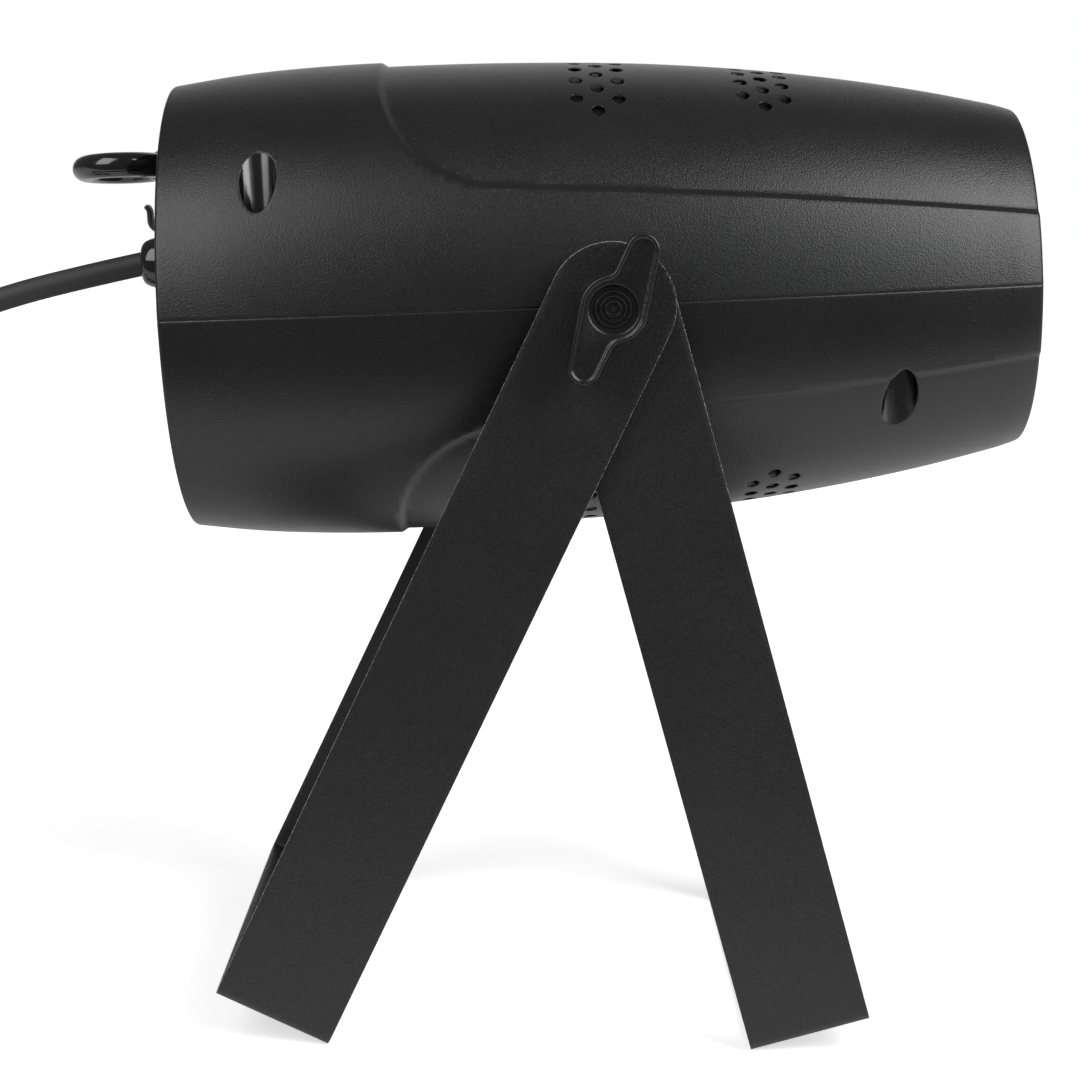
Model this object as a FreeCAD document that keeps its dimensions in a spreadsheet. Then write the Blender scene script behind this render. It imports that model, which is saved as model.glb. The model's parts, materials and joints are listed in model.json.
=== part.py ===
import FreeCAD, Part
import math
import os
import re
import Sketcher

# Pinspot light on a double folding bracket, in millimetres.
# The lamp is modelled along its own axis: x towards the lens, z up, the clamshell seam at z = 0
# and the bracket pivot at the origin. Every lamp piece then gets the same placement, which
# tilts the nose up and lifts the pivot to its height above the surface the brackets stand on.

Vector = FreeCAD.Vector
Rotation = FreeCAD.Rotation
Placement = FreeCAD.Placement

# Each row is the name of a size, its value and what it is.
SIZES = (
    ("overrun", 2.0, "how far a cutting tool runs past what it cuts"),
    ("lamp_tilt", 3.616, "degrees the nose points above level"),
    ("pivot_x", 17.35, "pivot ahead of the middle of the light without its cord"),
    # housing
    ("rear_length", 125.3, "pivot to the rear rim"),
    ("front_length", 122.2, "pivot to the front rim"),
    ("body_r", 70.26, "widest radius of the housing"),
    ("shell_wall", 3.0, "wall of a shell"),
    ("panel_step", 1.2, "depth of the recessed top and bottom panels"),
    ("panel_rear", 28.4, "pivot back to the centre of the panel's rear curve"),
    ("panel_curve_r", 34.4, "radius of the panel's rear curve"),
    ("panel_side", 33.8, "seam to the panel's edge below its rear curve"),
    ("panel_nose", 20.3, "seam to the panel's edge at the front rim"),
    ("panel_bow", 1.0, "how far the panel's long edge bows up"),
    ("seam_gap", 0.4, "width of the groove that shows at the seam"),
    ("seam_depth", 0.6, "depth of that groove"),
    ("pivot_boss_r", 14.0, "radius of the flat boss behind the bracket"),
    ("boss_proud", 1.14, "how far that boss stands out of the housing's widest part"),
    ("boss_depth", 7.8, "depth of that boss, through the wall"),
    # vents
    ("vent_r", 1.9, "radius of a vent hole"),
    ("vent_column", 6.0, "column spacing of the vent holes"),
    ("mid_vent_x", 1.0, "pivot back to the middle column of the middle vents"),
    ("mid_vent_pitch", 9.5, "hole spacing along a middle column"),
    ("front_vent_x", 46.5, "pivot to the middle column of the front vents"),
    ("front_vent_pitch", 8.15, "hole spacing along a front column"),
    # shell screws
    ("well_r", 5.2, "radius of a screw well"),
    ("well_wall", 1.8, "wall round a screw well"),
    ("well_floor", 9.0, "seam to the floor of a well"),
    ("rear_well_back", 29.0, "rear rim to the rear screws"),
    ("rear_well_in", 12.76, "housing's widest part to the rear screws"),
    ("front_well_back", 40.8, "front rim to the front screws"),
    ("front_well_in", 19.96, "housing's widest part to the front screws"),
    ("screw_r", 1.6, "shank radius of a shell screw"),
    ("screw_head_r", 3.4, "head radius of a shell screw"),
    ("screw_head", 2.4, "head height of a shell screw"),
    ("screw_bite", 14.0, "how far a shell screw runs past the seam"),
    ("screw_play", 0.1, "radial clearance round a screw"),
    ("post_r", 5.0, "radius of the post a shell screw bites into"),
    # rear panel
    ("panel_inset", 2.0, "rear rim to the rear panel's face"),
    ("panel_wall", 2.0, "thickness of the rear panel"),
    ("panel_play", 0.1, "clearance round the rear panel"),
    ("rear_rib", 2.5, "thickness of the rib behind the rear panel"),
    ("rear_rib_width", 5.6, "how far that rib reaches in from the panel's edge"),
    ("panel_screw_in", 2.8, "rear panel's edge to its screws"),
    ("small_screw_r", 1.2, "shank radius of a small screw"),
    ("small_head_r", 2.3, "head radius of a small screw"),
    ("small_head", 1.4, "head height of a small screw"),
    # lens end
    ("lens_set_back", 18.2, "front rim to the rib that carries the lens"),
    ("front_rib", 2.5, "thickness of that rib"),
    ("lens_open_r", 42.5, "radius left open by that rib"),
    ("gasket_wall", 1.0, "thickness of the lens gasket"),
    ("lens_r", 45.5, "radius of the lens"),
    ("lens_edge", 3.5, "edge thickness of the lens"),
    ("lens_crown", 8.0, "rise of the lens over its edge"),
    ("ring_r", 49.5, "outer radius of the lens ring"),
    ("ring_lip_r", 43.6, "inner radius of the lens ring's lip"),
    ("ring_lip", 2.4, "thickness of the lip"),
    ("ring_play", 0.2, "clearance between the lens and its ring"),
    ("lens_lift", 0.9, "clearance of the lip over the lens edge"),
    ("ring_screw_ring", 47.6, "radius the lens ring's screws stand on"),
    # optics
    ("plate_x", 10.0, "pivot to the rear face of the chassis plate"),
    ("sheet", 2.0, "thickness of the chassis sheet"),
    ("tube_wall", 1.5, "wall of the lens tube"),
    ("tube_root_r", 25.0, "radius of the lens tube at the chassis plate"),
    ("tube_flange_r", 46.0, "radius of its front flange"),
    ("led_board_r", 20.0, "radius of the LED board"),
    ("led_board_wall", 1.6, "thickness of the LED board"),
    ("led_r", 6.0, "radius of the LED emitter"),
    ("led_rise", 2.6, "height of the LED emitter"),
    ("holder_r", 19.0, "radius of the collimator holder"),
    ("holder_wall", 1.5, "wall of the collimator holder"),
    ("collimator_depth", 16.0, "depth of the collimator"),
    ("collimator_root_r", 7.5, "radius of the collimator at the LED"),
    # cooling
    ("sink_size", 60.0, "side of the heat sink"),
    ("sink_base", 6.0, "base thickness of the heat sink"),
    ("sink_depth", 34.0, "depth of the heat sink with its fins"),
    ("sink_fins", 9, "number of fins"),
    ("fin_wall", 1.6, "thickness of a fin"),
    ("fan_size", 60.0, "side of the fan frame"),
    ("fan_depth", 15.0, "depth of the fan frame"),
    ("fan_bore_r", 28.4, "radius of the fan's duct"),
    ("fan_hub_r", 12.5, "radius of the rotor hub"),
    ("fan_blade_play", 0.9, "running gap round the blades"),
    ("fan_blades", 7, "number of blades"),
    ("blade_wall", 1.2, "thickness of a blade"),
    ("blade_pitch", 38.0, "degrees a blade is turned from the duct's axis"),
    ("fan_plate", 2.5, "thickness of the fan's motor plate"),
    ("fan_shaft_r", 1.5, "radius of the rotor's shaft"),
    ("shaft_play", 0.05, "radial clearance of the rotor's shaft"),
    ("fan_strut", 4.0, "width of a fan strut"),
    ("fan_screw_at", 25.0, "fan axis to its screws, each way"),
    # chassis
    ("plate_half_y", 50.0, "half width of the chassis plate"),
    ("plate_half_z", 32.0, "half height of the chassis plate"),
    ("tab_half", 12.0, "half width of a chassis pivot tab"),
    ("shelf_gap", 23.3, "rear panel's face to the shelf"),
    ("shelf_half_y", 32.0, "half width of the shelf"),
    ("nut_flat_r", 7.2, "corner radius of a pivot nut"),
    ("nut_depth", 6.5, "thickness of a pivot nut"),
    # boards
    ("board_wall", 1.6, "thickness of a circuit board"),
    ("driver_gap", 8.0, "fan to the driver board"),
    ("driver_inset", 5.0, "end of the shelf to the driver board"),
    ("driver_half_y", 26.0, "half width of the driver board"),
    ("standoff_r", 2.8, "radius of a standoff"),
    ("standoff_rise", 5.0, "height of a driver standoff"),
    ("standoff_inset", 5.0, "board edge to a standoff"),
    ("coil_block", 22.0, "side of the driver's transformer"),
    ("coil_block_rise", 17.0, "height of the transformer"),
    ("cap_r", 6.0, "radius of a driver capacitor"),
    ("cap_rise", 20.0, "height of a driver capacitor"),
    ("cap_play", 0.4, "gap beside a capacitor"),
    ("control_gap", 9.0, "rear panel's inner face to the control board"),
    ("control_half_y", 31.0, "half width of the control board"),
    ("control_top", -4.0, "top edge of the control board"),
    ("control_height", 42.0, "height of the control board"),
    # display and buttons
    ("display_z", -17.0, "height of the display"),
    ("display_half_y", 20.0, "half width of the display window"),
    ("display_half_z", 7.0, "half height of the display window"),
    ("display_rim", 2.0, "display module past its window"),
    ("window_play", 0.15, "clearance round the display window"),
    ("button_z", -36.0, "height of the buttons"),
    ("button_pitch", 13.0, "spacing of the buttons"),
    ("button_r", 3.2, "radius of a button"),
    ("button_play", 0.25, "clearance round a button"),
    ("button_proud", 2.2, "how far a button stands out"),
    ("button_skirt_r", 4.4, "radius of a button's skirt"),
    ("button_skirt", 1.2, "thickness of that skirt"),
    ("button_stem_r", 1.8, "radius of a button's stem"),
    ("button_travel", 0.8, "gap between a stem and its switch"),
    ("switch_half", 3.0, "half side of a push switch"),
    ("switch_rise", 3.4, "height of a push switch"),
    # data sockets
    ("socket_z", 12.0, "height of the data sockets"),
    ("input_y", 36.0, "lamp axis to the data input"),
    ("output_y", 6.0, "lamp axis to the data output"),
    ("flange_half_y", 12.5, "half width of a socket flange"),
    ("flange_half_z", 15.0, "half height of a socket flange"),
    ("flange_wall", 1.8, "thickness of a socket flange"),
    ("barrel_r", 11.6, "radius of a socket barrel"),
    ("barrel_depth", 24.0, "depth of a socket barrel behind the panel"),
    ("barrel_play", 0.2, "clearance of a barrel in the panel"),
    ("cup_r", 9.6, "radius of the input's cup"),
    ("cup_depth", 15.0, "depth of the input's cup"),
    ("pin_r", 1.2, "radius of a data pin"),
    ("pin_circle", 4.6, "radius the data pins stand on"),
    ("pin_length", 11.0, "length of a data pin"),
    ("groove_r", 8.0, "inner radius of the output's groove"),
    ("groove_depth", 11.0, "depth of that groove"),
    ("contact_r", 1.5, "radius of an output contact hole"),
    ("tab_half_y", 3.0, "half width of the release tab"),
    ("tab_wall", 1.4, "thickness of the release tab"),
    ("tab_root_z", 11.2, "socket axis to the release tab's root"),
    ("tab_rise", 8.0, "rise of the release tab to its tip"),
    ("tab_proud", 11.5, "how far its tip stands out of the flange"),
    ("tab_pin_r", 1.2, "radius of the release tab's pin"),
    ("tab_slot", 0.4, "clearance of the tab in its slot"),
    # cable gland and safety eye
    ("gland_y", -30.0, "lamp axis to the cable gland"),
    ("gland_z", 14.8, "height of the cable gland"),
    ("gland_hex_r", 9.2, "corner radius of the gland's hexagon"),
    ("gland_hex", 3.6, "thickness of the hexagon"),
    ("dome_r", 7.5, "radius of the gland's dome"),
    ("dome_length", 6.9, "length of the dome"),
    ("dome_mouth_r", 4.1, "radius of the dome's mouth"),
    ("mouth_depth", 2.4, "depth of the dome's mouth"),
    ("gland_thread_r", 6.2, "thread radius of the gland"),
    ("gland_thread", 9.0, "thread length behind the panel's face"),
    ("locknut_r", 9.0, "corner radius of the gland's locknut"),
    ("locknut", 4.0, "thickness of the locknut"),
    ("eye_z", 42.3, "height of the safety eye"),
    ("eye_out", 34.4, "rear panel's face to the end of the eye"),
    ("eye_ring_r", 11.4, "radius of the eye's wire circle"),
    ("eye_wire_r", 3.7, "radius of the eye's wire"),
    ("eye_turn", 5.0, "degrees the eye is turned about its shank"),
    ("eye_collar_r", 8.0, "radius of the eye's collar at the panel"),
    ("eye_neck_r", 5.2, "radius of the collar at the ring"),
    ("eye_neck", 11.6, "panel to the collar's end"),
    ("eye_shank_r", 3.0, "radius of the eye's shank"),
    ("eye_shank", 12.0, "length of the shank behind the panel's face"),
    ("eye_nut_r", 5.8, "corner radius of the eye's nut"),
    ("eye_nut", 5.0, "thickness of the eye's nut"),
    # brackets
    ("arm_width", 35.0, "width of the bracket strip"),
    ("strip_wall", 2.0, "thickness of the bracket strip"),
    ("bend_r", 1.5, "inner bend radius of the brackets"),
    ("outer_reach", 223.66, "pivot to the outer bracket's crossbar"),
    ("nest_gap", 7.87, "outer bracket's crossbar to the inner one's"),
    ("outer_lean", 23.94, "degrees the outer bracket leans back"),
    ("arm_play", 0.1, "running gap between flat faces on the pivot"),
    ("friction_wall", 1.0, "thickness of a friction washer"),
    ("friction_r", 12.0, "radius of a friction washer"),
    ("pivot_hole_r", 4.3, "radius of a pivot hole in the brackets"),
    ("hang_hole_r", 5.25, "radius of a crossbar's hanging hole"),
    # wing knobs
    ("stud_r", 3.9, "radius of a knob's stud"),
    ("stud_play", 0.1, "radial clearance of a stud"),
    ("stud_past", 1.1, "how far a stud runs past its nut"),
    ("stud_grip", 6.0, "length of a stud inside its knob"),
    ("captive_wall", 1.2, "thickness of a knob's captive washer"),
    ("captive_r", 8.8, "radius of that washer"),
    ("knob_rise", 13.0, "height of a knob over its captive washer"),
    ("knob_hub_r", 9.2, "radius of a knob's hub"),
    ("knob_foot_r", 8.0, "radius of a knob's foot"),
    ("knob_foot", 4.2, "height of a knob's foot"),
    ("knob_tip_r", 4.5, "radius of a wing's tip"),
    ("knob_tip_x", 7.4, "hub to a wing's tip, forward"),
    ("knob_tip_z", 15.9, "hub to a wing's tip, up"),
    ("knob_flank", 156.0, "degrees of the normal of a wing's inner flank"),
    ("knob_neck_r", 3.0, "radius where a wing meets the hub"),
    ("knob_dish_r", 6.3, "radius of the dish in a knob"),
    ("knob_dish", 1.6, "depth of the dish"),
    ("knob_bead", 1.3, "width of the raised bead along a knob's edge"),
    ("knob_bead_rise", 0.5, "height of that bead"),
    # mains cord
    ("cord_r", 3.5, "radius of the mains cord"),
    ("coil_turns", 4.5, "turns in the put-away coil"),
    ("coil_inner_r", 29.3, "innermost radius of the cord's centre line in the coil"),
    ("coil_outer_r", 47.0, "outermost radius of that line"),
    ("coil_layer", 7.7, "rise from the lower to the upper layer"),
    ("coil_lead", 7.0, "straight length at each end of the coil"),
    ("coil_x", -228.5, "middle of the coil, along the light"),
    ("coil_y", 6.0, "middle of the coil, across the light"),
    ("tie_wall", 0.8, "thickness of the strap round the coil"),
    ("tie_width", 16.0, "width of that strap"),
    ("tie_play", 0.1, "gap between the strap and the coil"),
    ("plug_r", 18.5, "radius of the plug"),
    ("plug_face", 14.0, "length of the plug's cylinder"),
    ("plug_grip_r", 11.5, "radius of the plug's grip"),
    ("plug_grip", 20.0, "length of the plug's taper"),
    ("plug_neck_r", 7.0, "radius at the root of the strain relief"),
    ("plug_neck", 8.0, "length from the grip to the strain relief"),
    ("relief_r", 4.4, "radius at the end of the strain relief"),
    ("relief_length", 22.0, "length of the strain relief"),
    ("plug_pin_r", 2.4, "radius of a mains pin"),
    ("plug_pin", 19.0, "length of a mains pin"),
    ("plug_pin_at", 9.5, "plug axis to a mains pin"),
)

# The housing's outline: shares of its length from the rear rim, and of its widest radius.
# Each arc runs through three points and shares its last with the next.
outline_shares = (
    (0.0000, 0.9351),
    (0.0820, 0.9718),
    (0.1830, 0.9942),
    (0.2840, 1.0000),
    (0.4254, 0.9934),
    (0.5871, 0.9643),
    (0.7487, 0.9009),
    (0.8901, 0.8161),
    (1.0000, 0.7287),
)

# The mains cord's route, by hand. It leaves the gland outside the sweep of the brackets: along the
# light, across it and up from the gland's mouth.
LEAVING_ROUTE = (
    (2.0, 0.0, 0.3),
    (-13.9, 0.0, -3.5),
    (-38.9, 0.0, -10.3),
    (-71.9, -1.0, -22.9),
)
# It lands beside its coil: along the light, across it and above the surface.
LANDING_ROUTE = (
    (-221.0, -35.0, 171.0),
    (-247.0, -38.0, 134.0),
    (-267.0, -27.0, 92.0),
    (-281.0, -1.0, 56.0),
    (-283.0, 30.0, 25.0),
    (-266.0, 51.0, 7.4),
    (-235.5, 53.0, 4.4),
)
# From the coil's upper layer to the plug, which lies on the surface.
TAIL_ROUTE = (
    (-235.5, -41.0, 12.1),
    (-252.0, -41.2, 13.0),
    (-271.0, -42.5, 18.2),
    (-288.0, -42.5, 18.5),
)
bend_share = 0.45

document = FreeCAD.newDocument("pinspot_light")
sheet = document.addObject("Spreadsheet::Sheet", "Dims")
NAMES = [row[0] for row in SIZES]
for number, (name, size, note) in enumerate(SIZES, 1):
    sheet.set(f"A{number}", repr(size))
    sheet.setAlias(f"A{number}", name)
    sheet.set(f"B{number}", note)
document.recompute()

nodes = []


def full(text):
    """The expression with each size's name pointed at the sheet."""
    return re.sub(r"[a-z]\w*", lambda m: "Dims." + m[0] if m[0] in NAMES else m[0], str(text))


reader = document.addObject("App::FeaturePython", "Reader")
reader.addProperty("App::PropertyFloat", "Found", "Reader", "the number an expression gives")


def size(text):
    """The number that an expression of named sizes gives."""
    reader.setExpression("Found", full(text))
    reader.recompute()
    return reader.Found


def add(kind, name, **bound):
    """A document object whose properties are bound to expressions."""
    made = document.addObject(kind, name)
    for prop, text in bound.items():
        made.setExpression(prop, full(text))
    return made


def put(made, x, y, z, turn=None):
    """Places an object by expressions, after turning it."""
    if turn:
        made.Placement = Placement(Vector(0, 0, 0), turn)
    for axis, text in zip("xyz", (x, y, z)):
        made.setExpression(f"Placement.Base.{axis}", full(text))
    return made


ALONG = {
    "X": Rotation(Vector(0, 1, 0), 90),
    "Y": Rotation(Vector(1, 0, 0), -90),
    "Z": Rotation(Vector(0, 0, 1), 0),
}


def box(name, x, y, z):
    """A box from three pairs: where it starts along an axis, and how long it is there."""
    made = add("Part::Box", name, Length=x[1], Width=y[1], Height=z[1])
    return put(made, x[0], y[0], z[0])


def mid_box(name, x, y, half_y, z, half_z):
    """A box given by its span in x, and by its middle and half size in y and z."""
    return box(name, x, (f"{y} - ({half_y})", f"2*({half_y})"), (f"{z} - ({half_z})", f"2*({half_z})"))


def rod(name, along, x, y, z, radius, length):
    """A cylinder that starts at a point and runs along an axis."""
    made = add("Part::Cylinder", name, Radius=radius, Height=length)
    return put(made, x, y, z, ALONG[along])


def cone(name, along, x, y, z, first, last, length):
    """A cone frustum with its first radius at the point."""
    made = add("Part::Cone", name, Radius1=first, Radius2=last, Height=length)
    return put(made, x, y, z, ALONG[along])


def hexagon(name, along, x, y, z, corner, length):
    """A six-sided prism that runs along an axis."""
    made = add("Part::Prism", name, Circumradius=corner, Height=length)
    made.Polygon = 6
    return put(made, x, y, z, ALONG[along])


def cut(name, base, tool):
    made = document.addObject("Part::Cut", name)
    made.Base = base
    made.Tool = tool
    return made


def common(name, base, tool):
    made = document.addObject("Part::Common", name)
    made.Base = base
    made.Tool = tool
    return made


def fuse(name, *parts):
    made = document.addObject("Part::MultiFuse", name)
    made.Shapes = list(parts)
    return made


def group(name, *parts):
    """Separate solids kept side by side."""
    made = document.addObject("Part::Compound", name)
    made.Links = list(parts)
    return made


def fixed(name, shape):
    """An object whose shape is made by the kernel's own functions from the sheet's sizes."""
    made = document.addObject("Part::Feature", name)
    made.Shape = shape
    return made


def ring(name, along, x, y, z, inner, outer, length):
    """A flat ring; its hole runs past both faces."""
    shift = {axis: f"{text} - overrun" if axis == along else text for axis, text in zip("XYZ", (x, y, z))}
    disc = rod(name + "_disc", along, x, y, z, outer, length)
    hole = rod(name + "_hole", along, shift["X"], shift["Y"], shift["Z"], inner, f"{length} + 2*overrun")
    return cut(name, disc, hole)


def rounded(name, base, radius, chosen):
    """Rounds the edges of a base that the test picks."""
    document.recompute()
    made = document.addObject("Part::Fillet", name)
    made.Base = base
    picked = [i for i, edge in enumerate(base.Shape.Edges, 1) if chosen(edge)]
    made.Edges = [(i, size(radius), size(radius)) for i in picked]
    return made


def turned(name, points):
    """A body revolved about x from a sketch of (x, radius) corners, each bound to the sheet."""
    body = document.addObject("PartDesign::Body", name)
    flat = next(f for f in body.Origin.OriginFeatures if f.Role == "XZ_Plane")
    sketch = body.newObject("Sketcher::SketchObject", name + "_sketch")
    sketch.AttachmentSupport = [(flat, "")]
    sketch.MapMode = "FlatFace"
    corners = [Vector(size(x), size(r), 0) for x, r in points]
    count = len(corners)
    for i in range(count):
        sketch.addGeometry(Part.LineSegment(corners[i], corners[(i + 1) % count]), False)
    for i in range(count):
        sketch.addConstraint(Sketcher.Constraint("Coincident", i, 2, (i + 1) % count, 1))
    for i, (x, r) in enumerate(points):
        for way, text, value in (("X", x, corners[i].x), ("Y", r, corners[i].y)):
            held = sketch.addConstraint(Sketcher.Constraint(f"Distance{way}", -1, 1, i, 1, value))
            label = f"corner{i}{way.lower()}"
            sketch.renameConstraint(held, label)
            sketch.setExpression(f"Constraints.{label}", full(text))
    made = body.newObject("PartDesign::Revolution", name + "_turn")
    made.Profile = sketch
    made.ReferenceAxis = (sketch, ["H_Axis"])
    made.Angle = 360
    return body


STAND_HEIGHT = "(outer_reach*cos(outer_lean) + arm_width/2*sin(outer_lean))"
INNER_REACH = "(outer_reach - nest_gap)"
PIVOT = Vector(size("pivot_x"), 0, size(STAND_HEIGHT))
UPRIGHT = Rotation(Vector(0, 1, 0), 0)
IN_LAMP = Placement(PIVOT, Rotation(Vector(0, 1, 0), -size("lamp_tilt")))
IN_PLACE = Placement(Vector(0, 0, 0), UPRIGHT)


def node(label, made, place=IN_LAMP):
    """Names a sub-part and gives it its placement."""
    if made.TypeId in ("Part::Box", "Part::Cylinder", "Part::Cone", "Part::Prism", "Part::Torus"):
        made = group(label + "_piece", made)
    made.Label = label
    made.Placement = place
    nodes.append(made)
    return made


# Places along the lamp that several pieces share.
REAR_FACE = "(panel_inset - rear_length)"
REAR_WELL_X = "(rear_well_back - rear_length)"
FRONT_WELL_X = "(front_length - front_well_back)"
LENS_RIB_X = "(front_length - lens_set_back)"
SHELF_REAR = f"({REAR_FACE} + shelf_gap)"
DRIVER_REAR = f"({SHELF_REAR} + driver_inset)"
PANEL_BACK = f"({REAR_FACE} + panel_wall)"
BOARD_X = f"({PANEL_BACK} + control_gap)"
PLATE_FRONT = "(plate_x + sheet)"
LENS_BACK = f"({LENS_RIB_X} + front_rib + gasket_wall)"
FLANGE_X = f"({REAR_FACE} - flange_wall)"
SHELF_Z = "(-plate_half_z - sheet)"
FAN_FRONT = "(plate_x - sink_depth)"
FAN_REAR = f"({FAN_FRONT} - fan_depth)"
DRIVER_FRONT = f"({FAN_REAR} - driver_gap)"

# Places across the lamp.
REAR_WELL_Y = "(body_r - rear_well_in)"
FRONT_WELL_Y = "(body_r - front_well_in)"
PANEL_R = f"({outline_shares[0][1]}*body_r - shell_wall - panel_play)"
REAR_RIB_R = f"({PANEL_R} - rear_rib_width)"
PANEL_SCREW_RING = f"({PANEL_R} - panel_screw_in)"

# Places across the pivot, from the lamp outwards.
BOSS_FACE = "(body_r + boss_proud)"
BOSS_INNER = f"({BOSS_FACE} - boss_depth)"
STUD_INNER = f"({BOSS_INNER} - sheet - nut_depth - stud_past)"
INNER_FACE = f"({BOSS_FACE} + arm_play)"
FRICTION_FACE = f"({INNER_FACE} + strip_wall + arm_play)"
OUTER_FACE = f"({FRICTION_FACE} + friction_wall + arm_play)"
CAPTIVE_FACE = f"({OUTER_FACE} + strip_wall + arm_play)"
KNOB_FACE = f"({CAPTIVE_FACE} + captive_wall)"


def revolved(name, inset, points, arcs):
    """The housing's outline, moved in by an inset, turned about the lamp's axis."""
    length = size("rear_length + front_length")
    spots = [
        Vector(share * length - size("rear_length"), 0, part * size("body_r") - size(inset))
        for share, part in points
    ]
    rear = Vector(spots[0].x, 0, 0)
    front = Vector(spots[-1].x, 0, 0)
    if arcs:
        edges = [Part.Arc(*spots[i : i + 3]).toShape() for i in range(0, len(spots) - 2, 2)]
    else:
        spots[0] = spots[0] - Vector(size("overrun"), 0, 0)
        spots[-1] = spots[-1] + Vector(size("overrun"), 0, 0)
        rear.x = spots[0].x
        front.x = spots[-1].x
        edges = [Part.makeLine(a, b) for a, b in zip(spots, spots[1:])]
    edges += [Part.makeLine(spots[-1], front), Part.makeLine(front, rear), Part.makeLine(rear, spots[0])]
    outline = fixed(name + "_outline", Part.Wire(edges))
    made = document.addObject("Part::Revolution", name)
    made.Source = outline
    made.Axis = Vector(1, 0, 0)
    made.Angle = 360
    made.Solid = True
    return made


def panel_region():
    """The side view of the recessed panel, from its rear curve to past the front rim."""
    radius = size("panel_curve_r")
    centre = Vector(-size("panel_rear"), 0, size("panel_side") + radius)
    top = size("body_r + 2*overrun")
    front = size("front_length + overrun")
    rear = Vector(centre.x - radius, 0, centre.z)
    foot = Vector(centre.x, 0, size("panel_side"))
    slant = math.radians(225)
    elbow = centre + Vector(math.cos(slant), 0, math.sin(slant)) * radius
    nose = Vector(front, 0, size("panel_nose"))
    belly = (foot + nose) * 0.5 + Vector(0, 0, size("panel_bow"))
    edges = [
        Part.Arc(rear, elbow, foot).toShape(),
        Part.Arc(foot, belly, nose).toShape(),
        Part.makeLine(nose, Vector(front, 0, top)),
        Part.makeLine(Vector(front, 0, top), Vector(rear.x, 0, top)),
        Part.makeLine(Vector(rear.x, 0, top), rear),
    ]
    outline = fixed("panel_outline", Part.Wire(edges))
    made = document.addObject("Part::Extrusion", "panel_region")
    made.Base = outline
    made.DirMode = "Custom"
    made.Dir = Vector(0, 1, 0)
    made.Solid = True
    made.Symmetric = True
    made.setExpression("LengthFwd", full("2*body_r + 2*overrun"))
    return made


def vent_drills():
    """One drill for each vent hole: ten along a middle column, nine along each side column."""
    radius = size("vent_r")
    reach = size("body_r + overrun")
    sides = 6
    drills = []
    for middle, pitch in (("-mid_vent_x", "mid_vent_pitch"), ("front_vent_x", "front_vent_pitch")):
        for column in (-1, 0, 1):
            half = 4.5 if column == 0 else 4
            for i in range(int(2 * half) + 1):
                x = size(middle) + column * size("vent_column")
                y = (i - half) * size(pitch)
                ring_of = [
                    Vector(x + radius * math.cos(a), y + radius * math.sin(a), size("panel_nose"))
                    for a in [math.tau * (k + 0.5) / sides for k in range(sides)]
                ]
                face = Part.Face(Part.makePolygon(ring_of + ring_of[:1]))
                drills.append(face.extrude(Vector(0, 0, reach - size("panel_nose"))))
    return fixed("vent_drills", Part.makeCompound(drills))


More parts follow.
